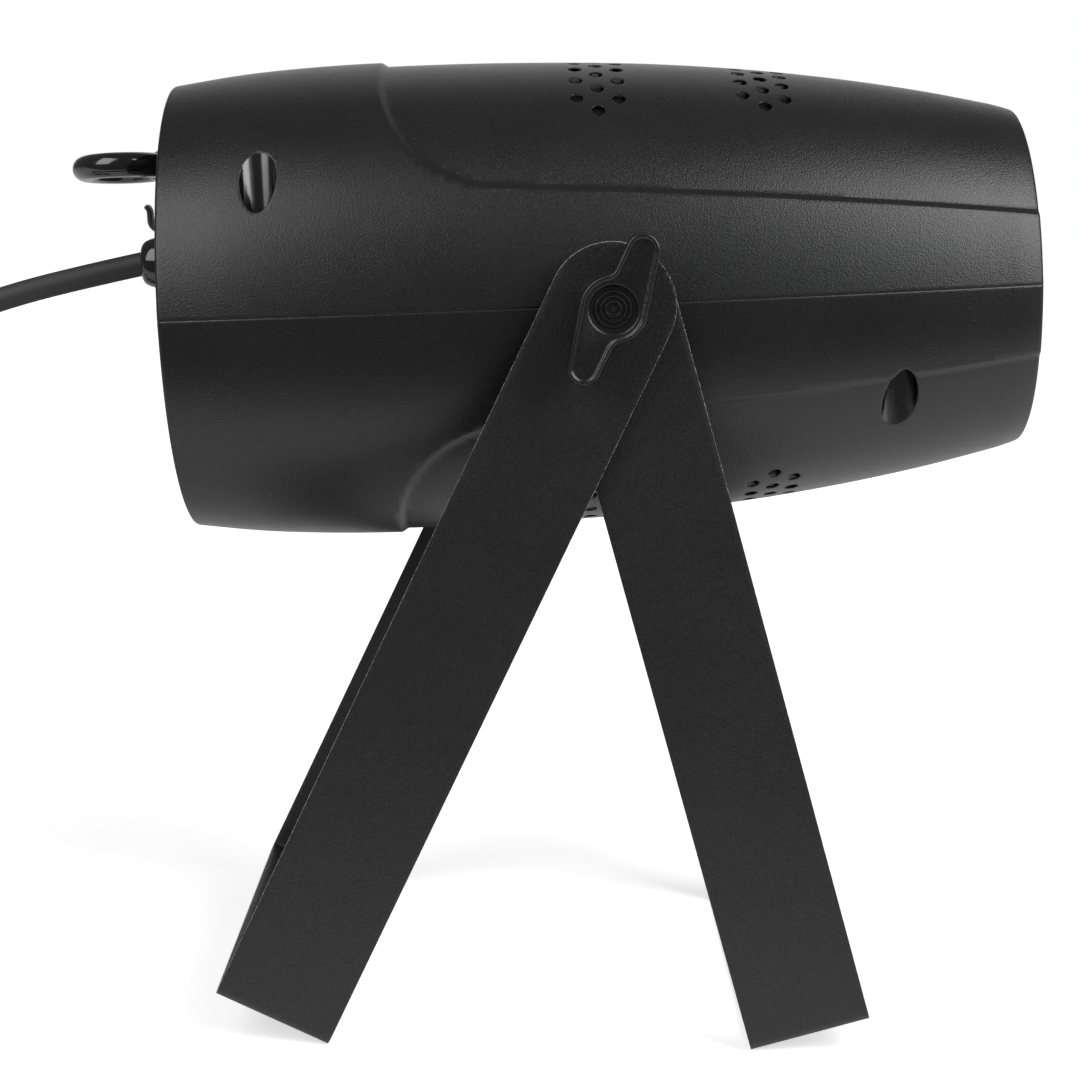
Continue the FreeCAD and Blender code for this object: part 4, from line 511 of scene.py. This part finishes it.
def open_edges(bm):
    """The edges with a face on one side only."""
    return [e for e in bm.edges if len(e.link_faces) == 1]


def shrink(corners, shares):
    """Draws corners in towards the housing's axis, each by its share."""
    for v, share in zip(corners, shares):
        v.co.y *= share
        v.co.z *= share


def cut_along(bm, field, level):
    """Cuts the faces along the line on which a field of the corners' places has a level."""
    bm.verts.ensure_lookup_table()
    values = field(coordinates(bm)) - level
    values[np.abs(values) < SNAP] = 0.0
    value_of = dict(zip(bm.verts, values))
    for edge in list(bm.edges):
        a, b = edge.verts
        if value_of[a] * value_of[b] < 0.0:
            share = value_of[a] / (value_of[a] - value_of[b])
            new_vert = bmesh.utils.edge_split(edge, a, share)[1]
            value_of[new_vert] = 0.0
    for face in list(bm.faces):
        signs = [value_of[v] for v in face.verts]
        if min(signs) < 0.0 < max(signs):
            on = [i for i, s in enumerate(signs) if s == 0.0]
            if len(on) == 2 and (on[1] - on[0]) not in (1, len(signs) - 1):
                bmesh.utils.face_split(face, face.verts[on[0]], face.verts[on[1]])


def remove_where(bm, field):
    """Removes the faces at whose middle the field is negative."""
    faces = list(bm.faces)
    inside = field(middles(faces)) < 0.0
    bmesh.ops.delete(bm, geom=[f for f, gone in zip(faces, inside) if gone], context="FACES")


def refine_near(bm, field, reach, cuts):
    """Divides the faces at whose middle the field is under a reach."""
    faces = list(bm.faces)
    near = field(middles(faces)) < reach
    edges = {e for f, chosen in zip(faces, near) if chosen for e in f.edges}
    bmesh.ops.subdivide_edges(bm, edges=list(edges), cuts=cuts, use_grid_fill=True)


def outline_radius(x):
    """The housing's radius at each x, on a smooth curve through its measured stations."""
    length = FRONT - REAR
    at = np.array([REAR + share * length for share, _ in OUTLINE])
    radii = np.array([r for _, r in OUTLINE])
    slope = np.gradient(radii, at)
    x = np.clip(np.asarray(x, dtype=float), at[0], at[-1])
    k = np.clip(np.searchsorted(at, x) - 1, 0, len(at) - 2)
    step = at[k + 1] - at[k]
    t = (x - at[k]) / step
    h00 = 2 * t**3 - 3 * t**2 + 1
    h10 = t**3 - 2 * t**2 + t
    h01 = -2 * t**3 + 3 * t**2
    h11 = t**3 - t**2
    radius = h00 * radii[k] + h10 * step * slope[k] + h01 * radii[k + 1] + h11 * step * slope[k + 1]
    lip = np.clip((x - (FRONT - LIP_LENGTH)) / LIP_LENGTH, 0.0, 1.0)
    return radius - LIP_TURN * lip**1.5


def panel_edge_z(x):
    """Height of the recessed panel's long edge at each x."""
    span = PANEL_NOSE[0] - PANEL_CENTRE[0]
    share = (x - PANEL_CENTRE[0]) / span
    return PANEL_FOOT_Z + (PANEL_NOSE[1] - PANEL_FOOT_Z) * share + 4.0 * PANEL_BOW * share * (1.0 - share)


def panel_depth_field(at):
    """Distance into the recessed panel, in the side view."""
    x, z = at[:, 0], np.abs(at[:, 2])
    dx, dz = x - PANEL_CENTRE[0], z - PANEL_CENTRE[1]
    round_part = PANEL_CURVE_R - np.hypot(dx, dz)
    high_part = dx + PANEL_CURVE_R
    rear = np.where(dz < 0.0, round_part, high_part)
    return np.where(x < PANEL_CENTRE[0], rear, z - panel_edge_z(x))


def vent_centres():
    """Plan positions of the vent holes: ten along a middle column, nine along each side column."""
    found = []
    for middle, pitch in VENTS:
        for column in (-1, 0, 1):
            half = 4.5 if column == 0 else 4.0
            found += [(middle + column * VENT_COLUMN, (i - half) * pitch) for i in range(int(2 * half) + 1)]
    return found


def plan_field(spots, radius):
    """A field of the plan distance to the nearest of some circles of one radius."""
    table = np.array(spots)

    def field(at):
        away = np.hypot(at[:, None, 0] - table[None, :, 0], at[:, None, 1] - table[None, :, 1])
        return np.where(at[:, 2] > HOLES_ABOVE, (away - radius).min(axis=1), FAR_AWAY)

    return field


def boss_field(at):
    """Distance outside the pivot boss, in the side view."""
    return np.where(np.abs(at[:, 1]) > BOSS_SIDE, np.hypot(at[:, 0], at[:, 2]) - BOSS_R, FAR_AWAY)


def smoothstep(t):
    """A share from 0 to 1 with soft ends."""
    t = np.clip(t, 0.0, 1.0)
    return t * t * (3.0 - 2.0 * t)


def shell_sheet(inset):
    """One half of the housing's outer or inner skin, cut for its vents, wells and pivots."""
    xs = [REAR + step for step in RIM_STEPS]
    xs += list(np.linspace(REAR + RINGS_FROM, FRONT - RINGS_FROM, RINGS))
    xs += [FRONT - step for step in RIM_STEPS[::-1]]
    turns = [*SEAM_STEPS, *np.linspace(TURNS_FROM, math.pi - TURNS_FROM, TURNS)]
    turns += [math.pi - step for step in SEAM_STEPS[::-1]]

    def place(x, turn):
        radius = float(outline_radius(x)) - inset
        return (x, radius * math.cos(turn), radius * math.sin(turn))

    bm = grid(xs, turns, place)
    vents = plan_field(vent_centres(), VENT_R)
    wells = plan_field(WELLS, WELL_R)
    refine_near(bm, vents, FINE_REACH, 3)
    refine_near(bm, wells, FINE_REACH, 1)
    tubes = plan_field(WELLS, WELL_R + WELL_TUBE)
    if inset == 0.0:
        tubes = wells
        for level in STEP_LEVELS:
            cut_along(bm, panel_depth_field, level * STEP_HALF)
        cut_along(bm, vents, HOLE_ROUND)
        cut_along(bm, wells, HOLE_ROUND)
    for field in (vents, tubes, boss_field):
        cut_along(bm, field, 0.0)
        remove_where(bm, field)
    if inset == 0.0:
        shape_skin(bm, vents, wells)
    return bm


def shape_skin(bm, vents, wells):
    """Sinks the recessed panel and rounds the rims, the seam and the holes' edges."""
    at = coordinates(bm)
    share = np.clip(panel_depth_field(at) / (2.0 * STEP_HALF) + 0.5, 0.0, 1.0)
    depth = PANEL_STEP * (0.75 * share + 0.25 * smoothstep(share))
    for field in (vents, wells):
        away = np.clip(field(at), 0.0, HOLE_ROUND) / HOLE_ROUND
        depth += HOLE_DROP * (1.0 - away) ** 2
    for gap, size in ((at[:, 0] - REAR, RIM_ROUND_REAR), (FRONT - at[:, 0], RIM_ROUND_FRONT)):
        t = np.clip(1.0 - gap / size, 0.0, 1.0)
        depth += size * (1.0 - np.sqrt(1.0 - t * t)) * RIM_DROP_SHARE
    t = np.clip(1.0 - at[:, 2] / SEAM_ROUND, 0.0, 1.0)
    depth += SEAM_DROP * t * t
    radius = np.hypot(at[:, 1], at[:, 2])
    lift = np.arcsin(np.clip(at[:, 2] / radius, 0.0, 1.0))
    depth += SEAM_DRAFT * lift * np.exp(-lift / SEAM_REACH)
    shrink(bm.verts, (radius - depth) / radius)


def close_holes(bm, field, reach, floor):
    """Draws a wall straight down from each hole's edge, within a reach, to a floor height."""
    edges = open_edges(bm)
    halfway = np.array([(e.verts[0].co + e.verts[1].co) / 2 for e in edges])
    chosen = [e for e, away in zip(edges, field(halfway)) if abs(away) < reach]
    for v in moved_corners(bmesh.ops.extrude_edge_only(bm, edges=chosen)):
        v.co.z = floor(v.co)


def close_rims(bm):
    """Draws the flat front and rear ends from the skin's edges in to its lining."""
    for x in (REAR, FRONT):
        chosen = [e for e in open_edges(bm) if max(abs(v.co.x - x) for v in e.verts) < SNAP]
        corners = moved_corners(bmesh.ops.extrude_edge_only(bm, edges=chosen))
        lining = float(outline_radius(x)) - WALL
        shrink(corners, [lining / math.hypot(v.co.y, v.co.z) for v in corners])


def shell_mesh(name):
    """The outer and the inner skin of one half, with walls at the rims and the holes."""

    def inner_z(at):
        radius = float(outline_radius(at.x)) - WALL
        return math.sqrt(max(radius * radius - at.y * at.y, 1.0))

    outer = shell_sheet(0.0)
    close_holes(outer, plan_field(vent_centres(), VENT_R), VENT_REACH, inner_z)
    close_holes(outer, plan_field(WELLS, WELL_R), WELL_REACH, lambda at: WELL_FLOOR)
    close_rims(outer)
    mesh = to_mesh(name, outer)
    lining = to_mesh(name + "_lining", shell_sheet(WALL))
    bm = bmesh.new()
    bm.from_mesh(mesh)
    gloss = plan_field(WELLS, WELL_R + WELL_EDGE)
    at = middles(bm.faces)
    at[:, 2] = FAR_AWAY
    for face, near in zip(bm.faces, gloss(at) < 0.0):
        if near and abs(face.normal.z) < 0.05:
            face.material_index = 1
    bm.from_mesh(lining)
    bm.to_mesh(mesh)
    bm.free()
    bpy.data.meshes.remove(lining)
    return mesh


def make_shells():
    """Both halves of the housing, and its two pivot bosses."""
    for side, at in (("upper", LAMP), ("lower", TURNED_OVER)):
        name = f"{side}_housing"
        mesh = shell_mesh(name)
        piece(name, mesh, "housing_plastic", at=at, nodes=(f"{side}_shell",), extra=("well_gloss",))
    outline = [
        (BOSS_BACK, BOSS_R - 0.1),
        (BOSS_FACE - 0.5, BOSS_R - 0.1),
        (BOSS_FACE - 0.15, BOSS_R - 0.25),
        (BOSS_FACE, BOSS_R - 0.6),
        (BOSS_FACE, BOSS_BORE_R),
        (BOSS_BACK, BOSS_BORE_R - 0.2),
        (BOSS_BACK, BOSS_R - 0.1),
    ]
    for side, sign in (("right", -1), ("left", 1)):
        mesh = lathe("pivot_boss", [(sign * y, r) for y, r in outline], "Y")
        piece(f"pivot_boss_{side}", mesh, "housing_plastic")


def strip_mesh(name, face, reach):
    """A steel strip bent to a U, with round ends, pivot holes and a hanging hole."""
    middle = face + STRIP / 2
    bend = BEND_R + STRIP / 2
    bar = reach - STRIP / 2
    arm = bar - bend
    quarter = bend * math.pi / 2
    flat = 2 * (middle - bend)
    total = ARM_HALF + arm + quarter + flat / 2

    def fold(s):
        """The middle of the strip at a distance from its middle, as (y, z)."""
        away = abs(s)
        side = 1.0 if s > 0 else -1.0
        if away < flat / 2:
            return side * away, -bar
        away -= flat / 2
        if away < quarter:
            a = away / bend
            return side * (flat / 2 + bend * math.sin(a)), -bar + bend * (1.0 - math.cos(a))
        return side * middle, -arm + away - quarter

    half = [0.0, 4.0, 8.0, 12.0, *np.arange(20.0, flat / 2 - 4.0, 8.0)]
    half += [flat / 2 + quarter * k / 6 for k in range(7)]
    half += list(np.arange(flat / 2 + quarter + 4.0, total - 2 * ARM_HALF, 8.0))
    half += list(np.linspace(total - 2 * ARM_HALF + 2.0, total, 24))
    along = [-s for s in half[:0:-1]] + half
    across = list(np.linspace(-ARM_HALF, ARM_HALF, 21))

    bm = grid(along, across, lambda s, x: (x, s, 0.0))
    pivot = total - ARM_HALF

    def end_field(at):
        past = np.maximum(np.abs(at[:, 1]) - pivot, 0.0)
        return ARM_HALF - np.hypot(at[:, 0], past)

    def hole_field(at):
        ends = np.hypot(at[:, 0], np.abs(at[:, 1]) - pivot) - PIVOT_HOLE_R
        return np.minimum(ends, np.hypot(at[:, 0], at[:, 1]) - HANG_HOLE_R)

    refine_near(bm, hole_field, 2.5, 2)
    cut_along(bm, end_field, 0.0)
    remove_where(bm, lambda at: end_field(at) + 1e-3)
    cut_along(bm, hole_field, 0.0)
    remove_where(bm, hole_field)
    for v in bm.verts:
        y, z = fold(v.co.y)
        v.co = (v.co.x, y, z)
    mesh = to_mesh(name, bm)
    # The bevelled edges take a pale grey: bare metal where the paint is worn, and a painted highlight along
    # them.
    for key in ("bracket_paint", "worn_edge_highlight"):
        mesh.materials.append(materials[key])
    return bevelled(thickened(mesh, STRIP, True), EDGE_BAND_WIDTH, 2, 50.0, 1)


def make_brackets():
    """The outer bracket leans back, the inner one forward."""
    for side, face, reach, lean in (
        ("outer", OUTER_FACE, OUTER_REACH, OUTER_LEAN),
        ("inner", INNER_FACE, INNER_REACH, INNER_LEAN),
    ):
        at = AT_PIVOT @ Matrix.Rotation(lean, 4, "Y")
        mesh = strip_mesh(f"{side}_strap", face, reach)
        piece(f"{side}_strap", mesh, "bracket_paint", f"{side}_bracket_body", at, (f"{side}_bracket",))


def knob_loop(inset):
    """The wing knob's outline seen from outside, moved in by an inset: two wings and a hub."""
    hub = KNOB_HUB_R - inset
    tip_r = KNOB_TIP_R - inset
    neck_r = KNOB_NECK_R + inset
    tip = np.array(KNOB_TIP)
    outer = math.atan2(tip[1], tip[0]) - math.acos((hub - tip_r) / math.hypot(*tip))
    flank = np.array([math.cos(KNOB_FLANK), math.sin(KNOB_FLANK)])
    down = np.array([math.sin(KNOB_FLANK), -math.cos(KNOB_FLANK)])
    down = down if down @ tip < 0 else -down
    centre = tip + (tip_r + neck_r) * flank
    along = centre @ down
    centre = centre - down * (along + math.sqrt(along * along - centre @ centre + (hub + neck_r) ** 2))
    meets = math.atan2(centre[1], centre[0])

    def arc(middle, radius, start, end, count):
        turns = np.linspace(start, end, count)
        return [(middle[0] + radius * math.cos(a), middle[1] + radius * math.sin(a)) for a in turns]

    half = arc(tip, tip_r, outer, KNOB_FLANK, 26)
    half += arc(centre, neck_r, KNOB_FLANK + math.pi, meets + math.pi, 12)
    half += arc((0.0, 0.0), hub, meets, outer + math.pi, 12)[1:-1]
    return half + [(-x, -y) for x, y in half]


def join_loops(bm, loops):
    """Closes the faces between each closed loop of corners and the next."""
    for near, far in zip(loops, loops[1:]):
        for i in range(len(near)):
            j = (i + 1) % len(near)
            bm.faces.new((near[i], near[j], far[j], far[i]))


def knob_mesh(name):
    """A moulded wing knob: rounded edges, a raised bead along its edge and a ringed dish."""
    top = KNOB_RISE
    profile = (
        (5.0, 1.6),
        (4.35, 0.5),
        (4.7, 0.12),
        (5.2, 0.0),
        (top - 0.75, 0.0),
        (top - 0.35, 0.1),
        (top - 0.1, 0.32),
        (top, 0.62),
        (top - 0.06, 0.95),
        (top - 0.3, 1.2),
        (top - 0.52, 1.4),
        (top - 0.6, 1.75),
    )
    bm = bmesh.new()
    join_loops(bm, [[bm.verts.new((x, y, z)) for x, y in knob_loop(inset)] for z, inset in profile])
    dish = [(7.0, 0.6), (6.75, 0.75), (6.1, 1.7), (5.95, 2.3)]
    for start, crest, shoulder, foot in KNOB_RIDGES:
        dish += [(start, 2.4), (crest, 1.75), (shoulder, 1.65), (foot, 2.4)]
    dish += [(1.1, 2.4), (0.9, 2.1)]
    turn = [math.tau * k / 64 for k in range(64)]
    circles = [
        [bm.verts.new((radius * math.cos(a), radius * math.sin(a), top - depth)) for a in turn]
        for radius, depth in dish
    ]
    join_loops(bm, circles)
    bm.faces.new(circles[-1])
    facing_up = [e for e in open_edges(bm) if min(v.co.z for v in e.verts) > top - 0.65]
    bmesh.ops.triangle_fill(bm, edges=facing_up, use_beauty=True)
    return to_mesh(name, bm)


def make_knobs():
    """A wing knob with its round foot on each side of the pivot."""
    foot = [
        (KNOB_FOOT, KNOB_FOOT_R - 0.1),
        (0.5, KNOB_FOOT_R),
        (0.12, KNOB_FOOT_R - 0.15),
        (0.0, KNOB_FOOT_R - 0.5),
        (0.0, KNOB_BORE_R),
        (KNOB_FOOT, KNOB_BORE_R),
    ]
    outwards = Matrix.Rotation(math.pi / 2, 4, "X")
    for side, sign, facing in (
        ("right", -1, outwards),
        ("left", 1, Matrix.Rotation(math.pi, 4, "Z") @ outwards),
    ):
        at = AT_PIVOT @ Matrix.Translation((0.0, sign * KNOB_FACE, 0.0)) @ facing
        wings = bevelled(knob_mesh(f"{side}_wings"), 0.01, 1, 80.0)
        piece(f"{side}_wings", wings, "knob_plastic", f"{side}_knob_body", at, (f"{side}_knob",))
        base = lathe(f"{side}_knob_base", foot, "Z")
        piece(f"{side}_knob_base", base, "knob_plastic", f"{side}_knob_body", at)


def cord_points():
    """The cord's route as control points, with its coil's turns worked out between its ends."""
    spots = [Vector(p) for p in CORD_DROP]
    spiral = (COIL_TURNS - COIL_CLIMB) / 2
    for i in range(COIL_STEPS + 1):
        turn = COIL_TURNS * i / COIL_STEPS
        rise = min(max((turn - spiral) / COIL_CLIMB, 0.0), 1.0)
        if turn <= spiral:
            radius = COIL_OUTER_R + (COIL_INNER_R - COIL_OUTER_R) * turn / spiral
        else:
            past = max(turn - spiral - COIL_CLIMB, 0.0)
            radius = COIL_INNER_R + (COIL_OUTER_R - COIL_INNER_R) * past / spiral
        angle = math.pi / 2 - math.tau * turn
        height = COIL_LOW + COIL_LAYER * (1 - math.cos(math.pi * rise)) / 2
        spots.append(COIL_CENTRE + Vector((radius * math.cos(angle), radius * math.sin(angle), height)))
    return spots + [Vector(p) for p in CORD_TAIL]


def make_cord():
    """The mains cord as one smooth line from the gland, through its coil, to the plug."""
    curve = bpy.data.curves.new("mains_flex", "CURVE")
    curve.dimensions = "3D"
    curve.bevel_depth = CORD_R * MM
    curve.bevel_resolution = 5
    curve.resolution_u = 6
    line = curve.splines.new("NURBS")
    spots = cord_points()
    line.points.add(len(spots) - 1)
    for point, spot in zip(line.points, spots):
        point.co = (*(spot * MM), 1.0)
    line.order_u = 3
    line.use_endpoint_u = True
    flex = new_object("mains_flex", curve)
    curve.materials.append(materials["cord_sheath"])
    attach(flex, "lamp")
    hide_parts("mains_cord", "cord_coil", "cord_tail")
    strap = make_tie()
    plug = make_plug()


def band_mesh(name, path, widths, closed=False):
    """A sheet along a path of (x, z) points, with corners at some places in y."""
    bm = bmesh.new()
    rows = [[bm.verts.new((x, y, z)) for y in widths] for x, z in path]
    if closed:
        rows.append(rows[0])
    for near, far in zip(rows, rows[1:]):
        for i in range(len(widths) - 1):
            bm.faces.new((near[i], near[i + 1], far[i + 1], far[i]))
    return to_mesh(name, bm)


def make_tie():
    """A hook-and-loop strap round one side of the coil, with rounded corners."""
    left = COIL_CENTRE.x - COIL_OUTER_R - CORD_R - TIE_PLAY
    right = COIL_CENTRE.x - COIL_INNER_R + CORD_R + TIE_PLAY + TIE_TAIL
    high = COIL_LOW + COIL_LAYER + CORD_R + TIE_PLAY
    loop = []
    for cx, cz, start in (
        (right - TIE_ROUND, high - TIE_ROUND, 0.0),
        (left + TIE_ROUND, high - TIE_ROUND, 90.0),
        (left + TIE_ROUND, TIE_LOW + TIE_ROUND, 180.0),
        (right - TIE_ROUND, TIE_LOW + TIE_ROUND, 270.0),
    ):
        for k in range(6):
            a = math.radians(start + 18.0 * k)
            loop.append((cx + TIE_ROUND * math.cos(a), cz + TIE_ROUND * math.sin(a)))
    widths = [COIL_CENTRE.y + w for w in (-8.0, -7.4, 0.0, 7.4, 8.0)]
    mesh = bevelled(thickened(band_mesh("coil_strap", loop, widths, True), TIE_WALL), 0.2)
    return piece("coil_strap", mesh, "tie_strap", at=IN_METRES, nodes=("cord_tie",))


def make_plug():
    """The mains plug: a round face, a waisted grip and a ribbed strain relief."""
    outline = [(0.0, 0.0), (0.0, 17.3), (0.35, 18.1), (1.2, 18.5), (13.0, 18.5), (14.6, 18.1)]
    outline += [(20.0, 14.8), (26.0, 12.2), (34.0, 11.5), (38.0, 10.2), (42.0, 7.2)]
    for k in range(6):
        start = 43.0 + 3.5 * k
        radius = 6.7 - 0.4 * k
        outline += [(start, radius), (start + 1.9, radius - 0.1)]
        outline += [(start + 2.1, radius - 0.8), (start + 3.2, radius - 0.9)]
    outline += [(PLUG_LENGTH - 0.1, 4.3), (PLUG_LENGTH, 3.9), (PLUG_LENGTH, 0.0)]
    mesh = lathe("plug_body", outline, "X", 72)
    end = CORD_TAIL[-1]
    at = IN_METRES @ Matrix.Translation((end[0] - PLUG_LENGTH, end[1], end[2]))
    return piece("plug_body", mesh, "plug_rubber", at=at, nodes=("mains_plug",))


def make_eye():
    """The safety eye: a smooth enamelled ring on a flared collar."""
    bm = bmesh.new()
    rows = []
    for i in range(72):
        a = math.tau * i / 72
        row = []
        for j in range(28):
            b = math.tau * j / 28
            r = EYE_R + EYE_BAR_R * math.cos(b)
            row.append(bm.verts.new((r * math.cos(a), r * math.sin(a), EYE_BAR_R * math.sin(b))))
        rows.append(row)
    join_loops(bm, [*rows, rows[0]])
    mesh = to_mesh("eye_ring", bm)
    mesh.transform(Matrix.Translation(EYE_CENTRE) @ Matrix.Rotation(EYE_TURN, 4, "X"))
    piece("eye_ring", mesh, "eye_steel", nodes=("safety_eye",))
    collar = [(-134.6, 0.0), (-134.6, 3.5), (-132.5, 4.6), (-130.0, 5.6), (-127.4, 6.3), (-126.6, 7.4)]
    collar += [(-125.6, 7.95), (-123.3, 8.0), (-123.3, 3.0), (-111.3, 3.0), (-111.3, 0.0)]
    mesh = lathe("eye_collar", collar, "X", 48, (0.0, EYE_CENTRE[1], EYE_CENTRE[2]))
    piece("eye_collar", mesh, "eye_steel")


def make_release_tab():
    """The data output's release lever: out from the socket, up, and curled away at its tip."""
    x, z = TAB_ROOT
    path = [(x - TAB_REACH * k / 4, z) for k in range(5)]
    x, z = x - TAB_REACH, z + TAB_BEND
    for k in range(1, 9):
        a = math.pi / 2 * k / 8
        path.append((x - TAB_BEND * math.sin(a), z - TAB_BEND * math.cos(a)))
    x, z = x - TAB_BEND, z + TAB_RISE
    for k in range(7):
        a = TAB_CURL * k / 6
        path.append((x - TAB_CURL_R * (1.0 - math.cos(a)), z + TAB_CURL_R * math.sin(a)))
    widths = [TAB_Y + w for w in (-3.0, -1.5, 0.0, 1.5, 3.0)]
    mesh = bevelled(thickened(band_mesh("release_lever", path, widths), TAB_WALL, True), 0.3)
    piece("release_lever", mesh, "tab_grey", "release_tab_body", LAMP, ("release_tab",))


def make_gland():
    """The cable gland's domed nut with its mouth."""
    outline = [(GLAND_X, 0.0), (GLAND_X, GLAND_MOUTH_R + GLAND_ROUND)]
    for k in range(1, 13):
        a = math.pi / 2 * k / 12
        out = GLAND_DOME * math.sin(a) * 0.999
        outline.append((GLAND_X - out, GLAND_MOUTH_R + GLAND_ROUND * math.cos(a) ** 0.75))
    outline += [(GLAND_X - 6.7, 3.8), (GLAND_X - 5.0, 3.65), (GLAND_X - 4.6, 0.0)]
    mesh = lathe("gland_cap", outline, "X", 56, GLAND_AXIS)
    piece("gland_cap", mesh, "gland_plastic", nodes=("gland_dome",))


def paint_nodes():
    """Gives each CAD node the material of its slot, and eases the edges of some."""
    for entry in frame["record"]["subparts"]:
        made = frame["nodes"][entry["node"]]
        made.data.materials.clear()
        made.data.materials.append(materials[entry["material_slot"]])
        if entry["node"] in EASED:
            weld = made.modifiers.new("weld", "WELD")
            weld.merge_threshold = WELD_GAP * MM
            ease = made.modifiers.new("ease", "BEVEL")
            ease.width = EASED[entry["node"]] * MM
            ease.segments = 2
            ease.limit_method = "ANGLE"
            ease.angle_limit = math.radians(40.0)
            ease.use_clamp_overlap = True


def make_camera():
    """The camera, where the photograph's stood."""
    data = bpy.data.cameras.new("camera")
    data.lens = LENS_MM
    data.sensor_width = SENSOR_MM
    data.clip_end = CAMERA_REACH
    level = math.cos(CAMERA_PITCH)
    forward = Vector((math.sin(CAMERA_YAW) * level, math.cos(CAMERA_YAW) * level, -math.sin(CAMERA_PITCH)))
    right = Vector((math.cos(CAMERA_YAW), -math.sin(CAMERA_YAW), 0.0))
    up = right.cross(forward)
    rolled_right = right * math.cos(CAMERA_ROLL) + up * math.sin(CAMERA_ROLL)
    rolled_up = up * math.cos(CAMERA_ROLL) - right * math.sin(CAMERA_ROLL)
    turn = Matrix((rolled_right, rolled_up, -forward)).transposed().to_4x4()
    made = new_object("camera", data)
    made.matrix_world = Matrix.Translation((PIVOT + CAMERA_FROM_PIVOT) * MM) @ turn
    bpy.context.scene.camera = made


def soft_light(name, place, wide, high, power):
    """A soft rectangular light that faces the middle of the object."""
    data = bpy.data.lights.new(name, "AREA")
    data.shape = "RECTANGLE"
    data.size = wide
    data.size_y = high
    data.energy = power
    made = new_object(name, data)
    look = Vector(AIM) - Vector(place)
    made.matrix_world = Matrix.Translation(place) @ look.to_track_quat("-Z", "Y").to_matrix().to_4x4()


def seen_share(tree, mirrored):
    """1 for a ray from the camera, and a socket's share for a reflected one or one through glass."""
    path = tree.nodes.new("ShaderNodeLightPath")
    steps = []
    for operation in ("ADD", "MULTIPLY", "ADD"):
        step = tree.nodes.new("ShaderNodeMath")
        step.operation = operation
        steps.append(step)
    either, part, both = steps
    tree.links.new(path.outputs["Is Glossy Ray"], either.inputs[0])
    tree.links.new(path.outputs["Is Transmission Ray"], either.inputs[1])
    tree.links.new(either.outputs[0], part.inputs[0])
    tree.links.new(mirrored, part.inputs[1])
    both.use_clamp = True
    tree.links.new(path.outputs["Is Camera Ray"], both.inputs[0])
    tree.links.new(part.outputs[0], both.inputs[1])
    return both.outputs[0]


def blend(tree, share, plain, seen, output):
    """Shows a plain shader, and another to the share of the rays that a socket gives."""
    mix = tree.nodes.new("ShaderNodeMixShader")
    tree.links.new(share, mix.inputs["Fac"])
    tree.links.new(plain.outputs[0], mix.inputs[1])
    tree.links.new(seen.outputs[0], mix.inputs[2])
    tree.links.new(mix.outputs[0], tree.nodes[output].inputs["Surface"])


def floor_material():
    """White that reads as plain white where no shadow falls on it, and the more so further out."""
    made, tree, principled, node = shader("studio_white")
    principled.inputs["Base Color"].default_value = FLOOR_WHITE
    principled.inputs["Roughness"].default_value = 0.9
    away = node("ShaderNodeVectorMath", operation="LENGTH")
    tree.links.new(node("ShaderNodeTexCoord").outputs["Object"], away.inputs[0])
    glow = ranged(tree, away.outputs["Value"], GLOW_LEAST, 1.0, GLOW_NEAR, GLOW_FAR, "SMOOTHSTEP")
    lift = node("ShaderNodeEmission")
    tree.links.new(glow, lift.inputs["Strength"])
    lifted = node("ShaderNodeAddShader")
    tree.links.new(principled.outputs[0], lifted.inputs[0])
    tree.links.new(lift.outputs[0], lifted.inputs[1])
    mirrored = node("ShaderNodeValue").outputs[0]
    mirrored.default_value = FLOOR_MIRRORED
    blend(tree, seen_share(tree, mirrored), principled, lifted, "Material Output")
    return made


def make_studio():
    """A white floor, two softboxes beside the camera, a weak fill and a dim room that looks white."""
    world = bpy.data.worlds.new("studio")
    bpy.context.scene.world = world
    world.use_nodes = True
    tree = world.node_tree
    dim = tree.nodes["Background"]
    seen = tree.nodes.new("ShaderNodeBackground")
    for shade, strength in ((dim, ROOM_LIGHT), (seen, 1.0)):
        shade.inputs["Color"].default_value = ROOM_WHITE
        shade.inputs["Strength"].default_value = strength
    way = tree.nodes.new("ShaderNodeTexCoord")
    parts = tree.nodes.new("ShaderNodeSeparateXYZ")
    tree.links.new(way.outputs["Generated"], parts.inputs[0])
    behind = ranged(tree, parts.outputs["Y"], 0.0, 1.0, ROOM_BEHIND, 1.0)
    blend(tree, seen_share(tree, behind), dim, seen, "World Output")

    mesh = bpy.data.meshes.new("floor")
    corners = [
        (-FLOOR_REACH, FLOOR_FRONT, 0.0),
        (FLOOR_REACH, FLOOR_FRONT, 0.0),
        (FLOOR_REACH, FLOOR_REACH, 0.0),
        (-FLOOR_REACH, FLOOR_REACH, 0.0),
    ]
    mesh.from_pydata(corners, [], [(0, 1, 2, 3)])
    mesh.materials.append(floor_material())
    floor = new_object("floor", mesh)
    floor.location.z = FLOOR_Z

    for name, settings in LIGHTS.items():
        soft_light(name, *settings)
    bpy.context.scene.view_settings.view_transform = "Standard"


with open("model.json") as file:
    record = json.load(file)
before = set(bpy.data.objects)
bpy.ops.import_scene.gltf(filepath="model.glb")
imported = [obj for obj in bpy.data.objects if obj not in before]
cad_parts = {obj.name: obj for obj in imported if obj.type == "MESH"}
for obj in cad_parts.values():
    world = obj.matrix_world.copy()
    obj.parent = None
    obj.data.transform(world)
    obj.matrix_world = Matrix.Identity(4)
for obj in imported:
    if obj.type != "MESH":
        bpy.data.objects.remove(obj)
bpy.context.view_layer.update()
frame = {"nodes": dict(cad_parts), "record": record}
make_camera()
materials = make_materials()
paint_nodes()
make_cord()
make_shells()
make_brackets()
make_knobs()
make_eye()
make_gland()
make_release_tab()
make_studio()
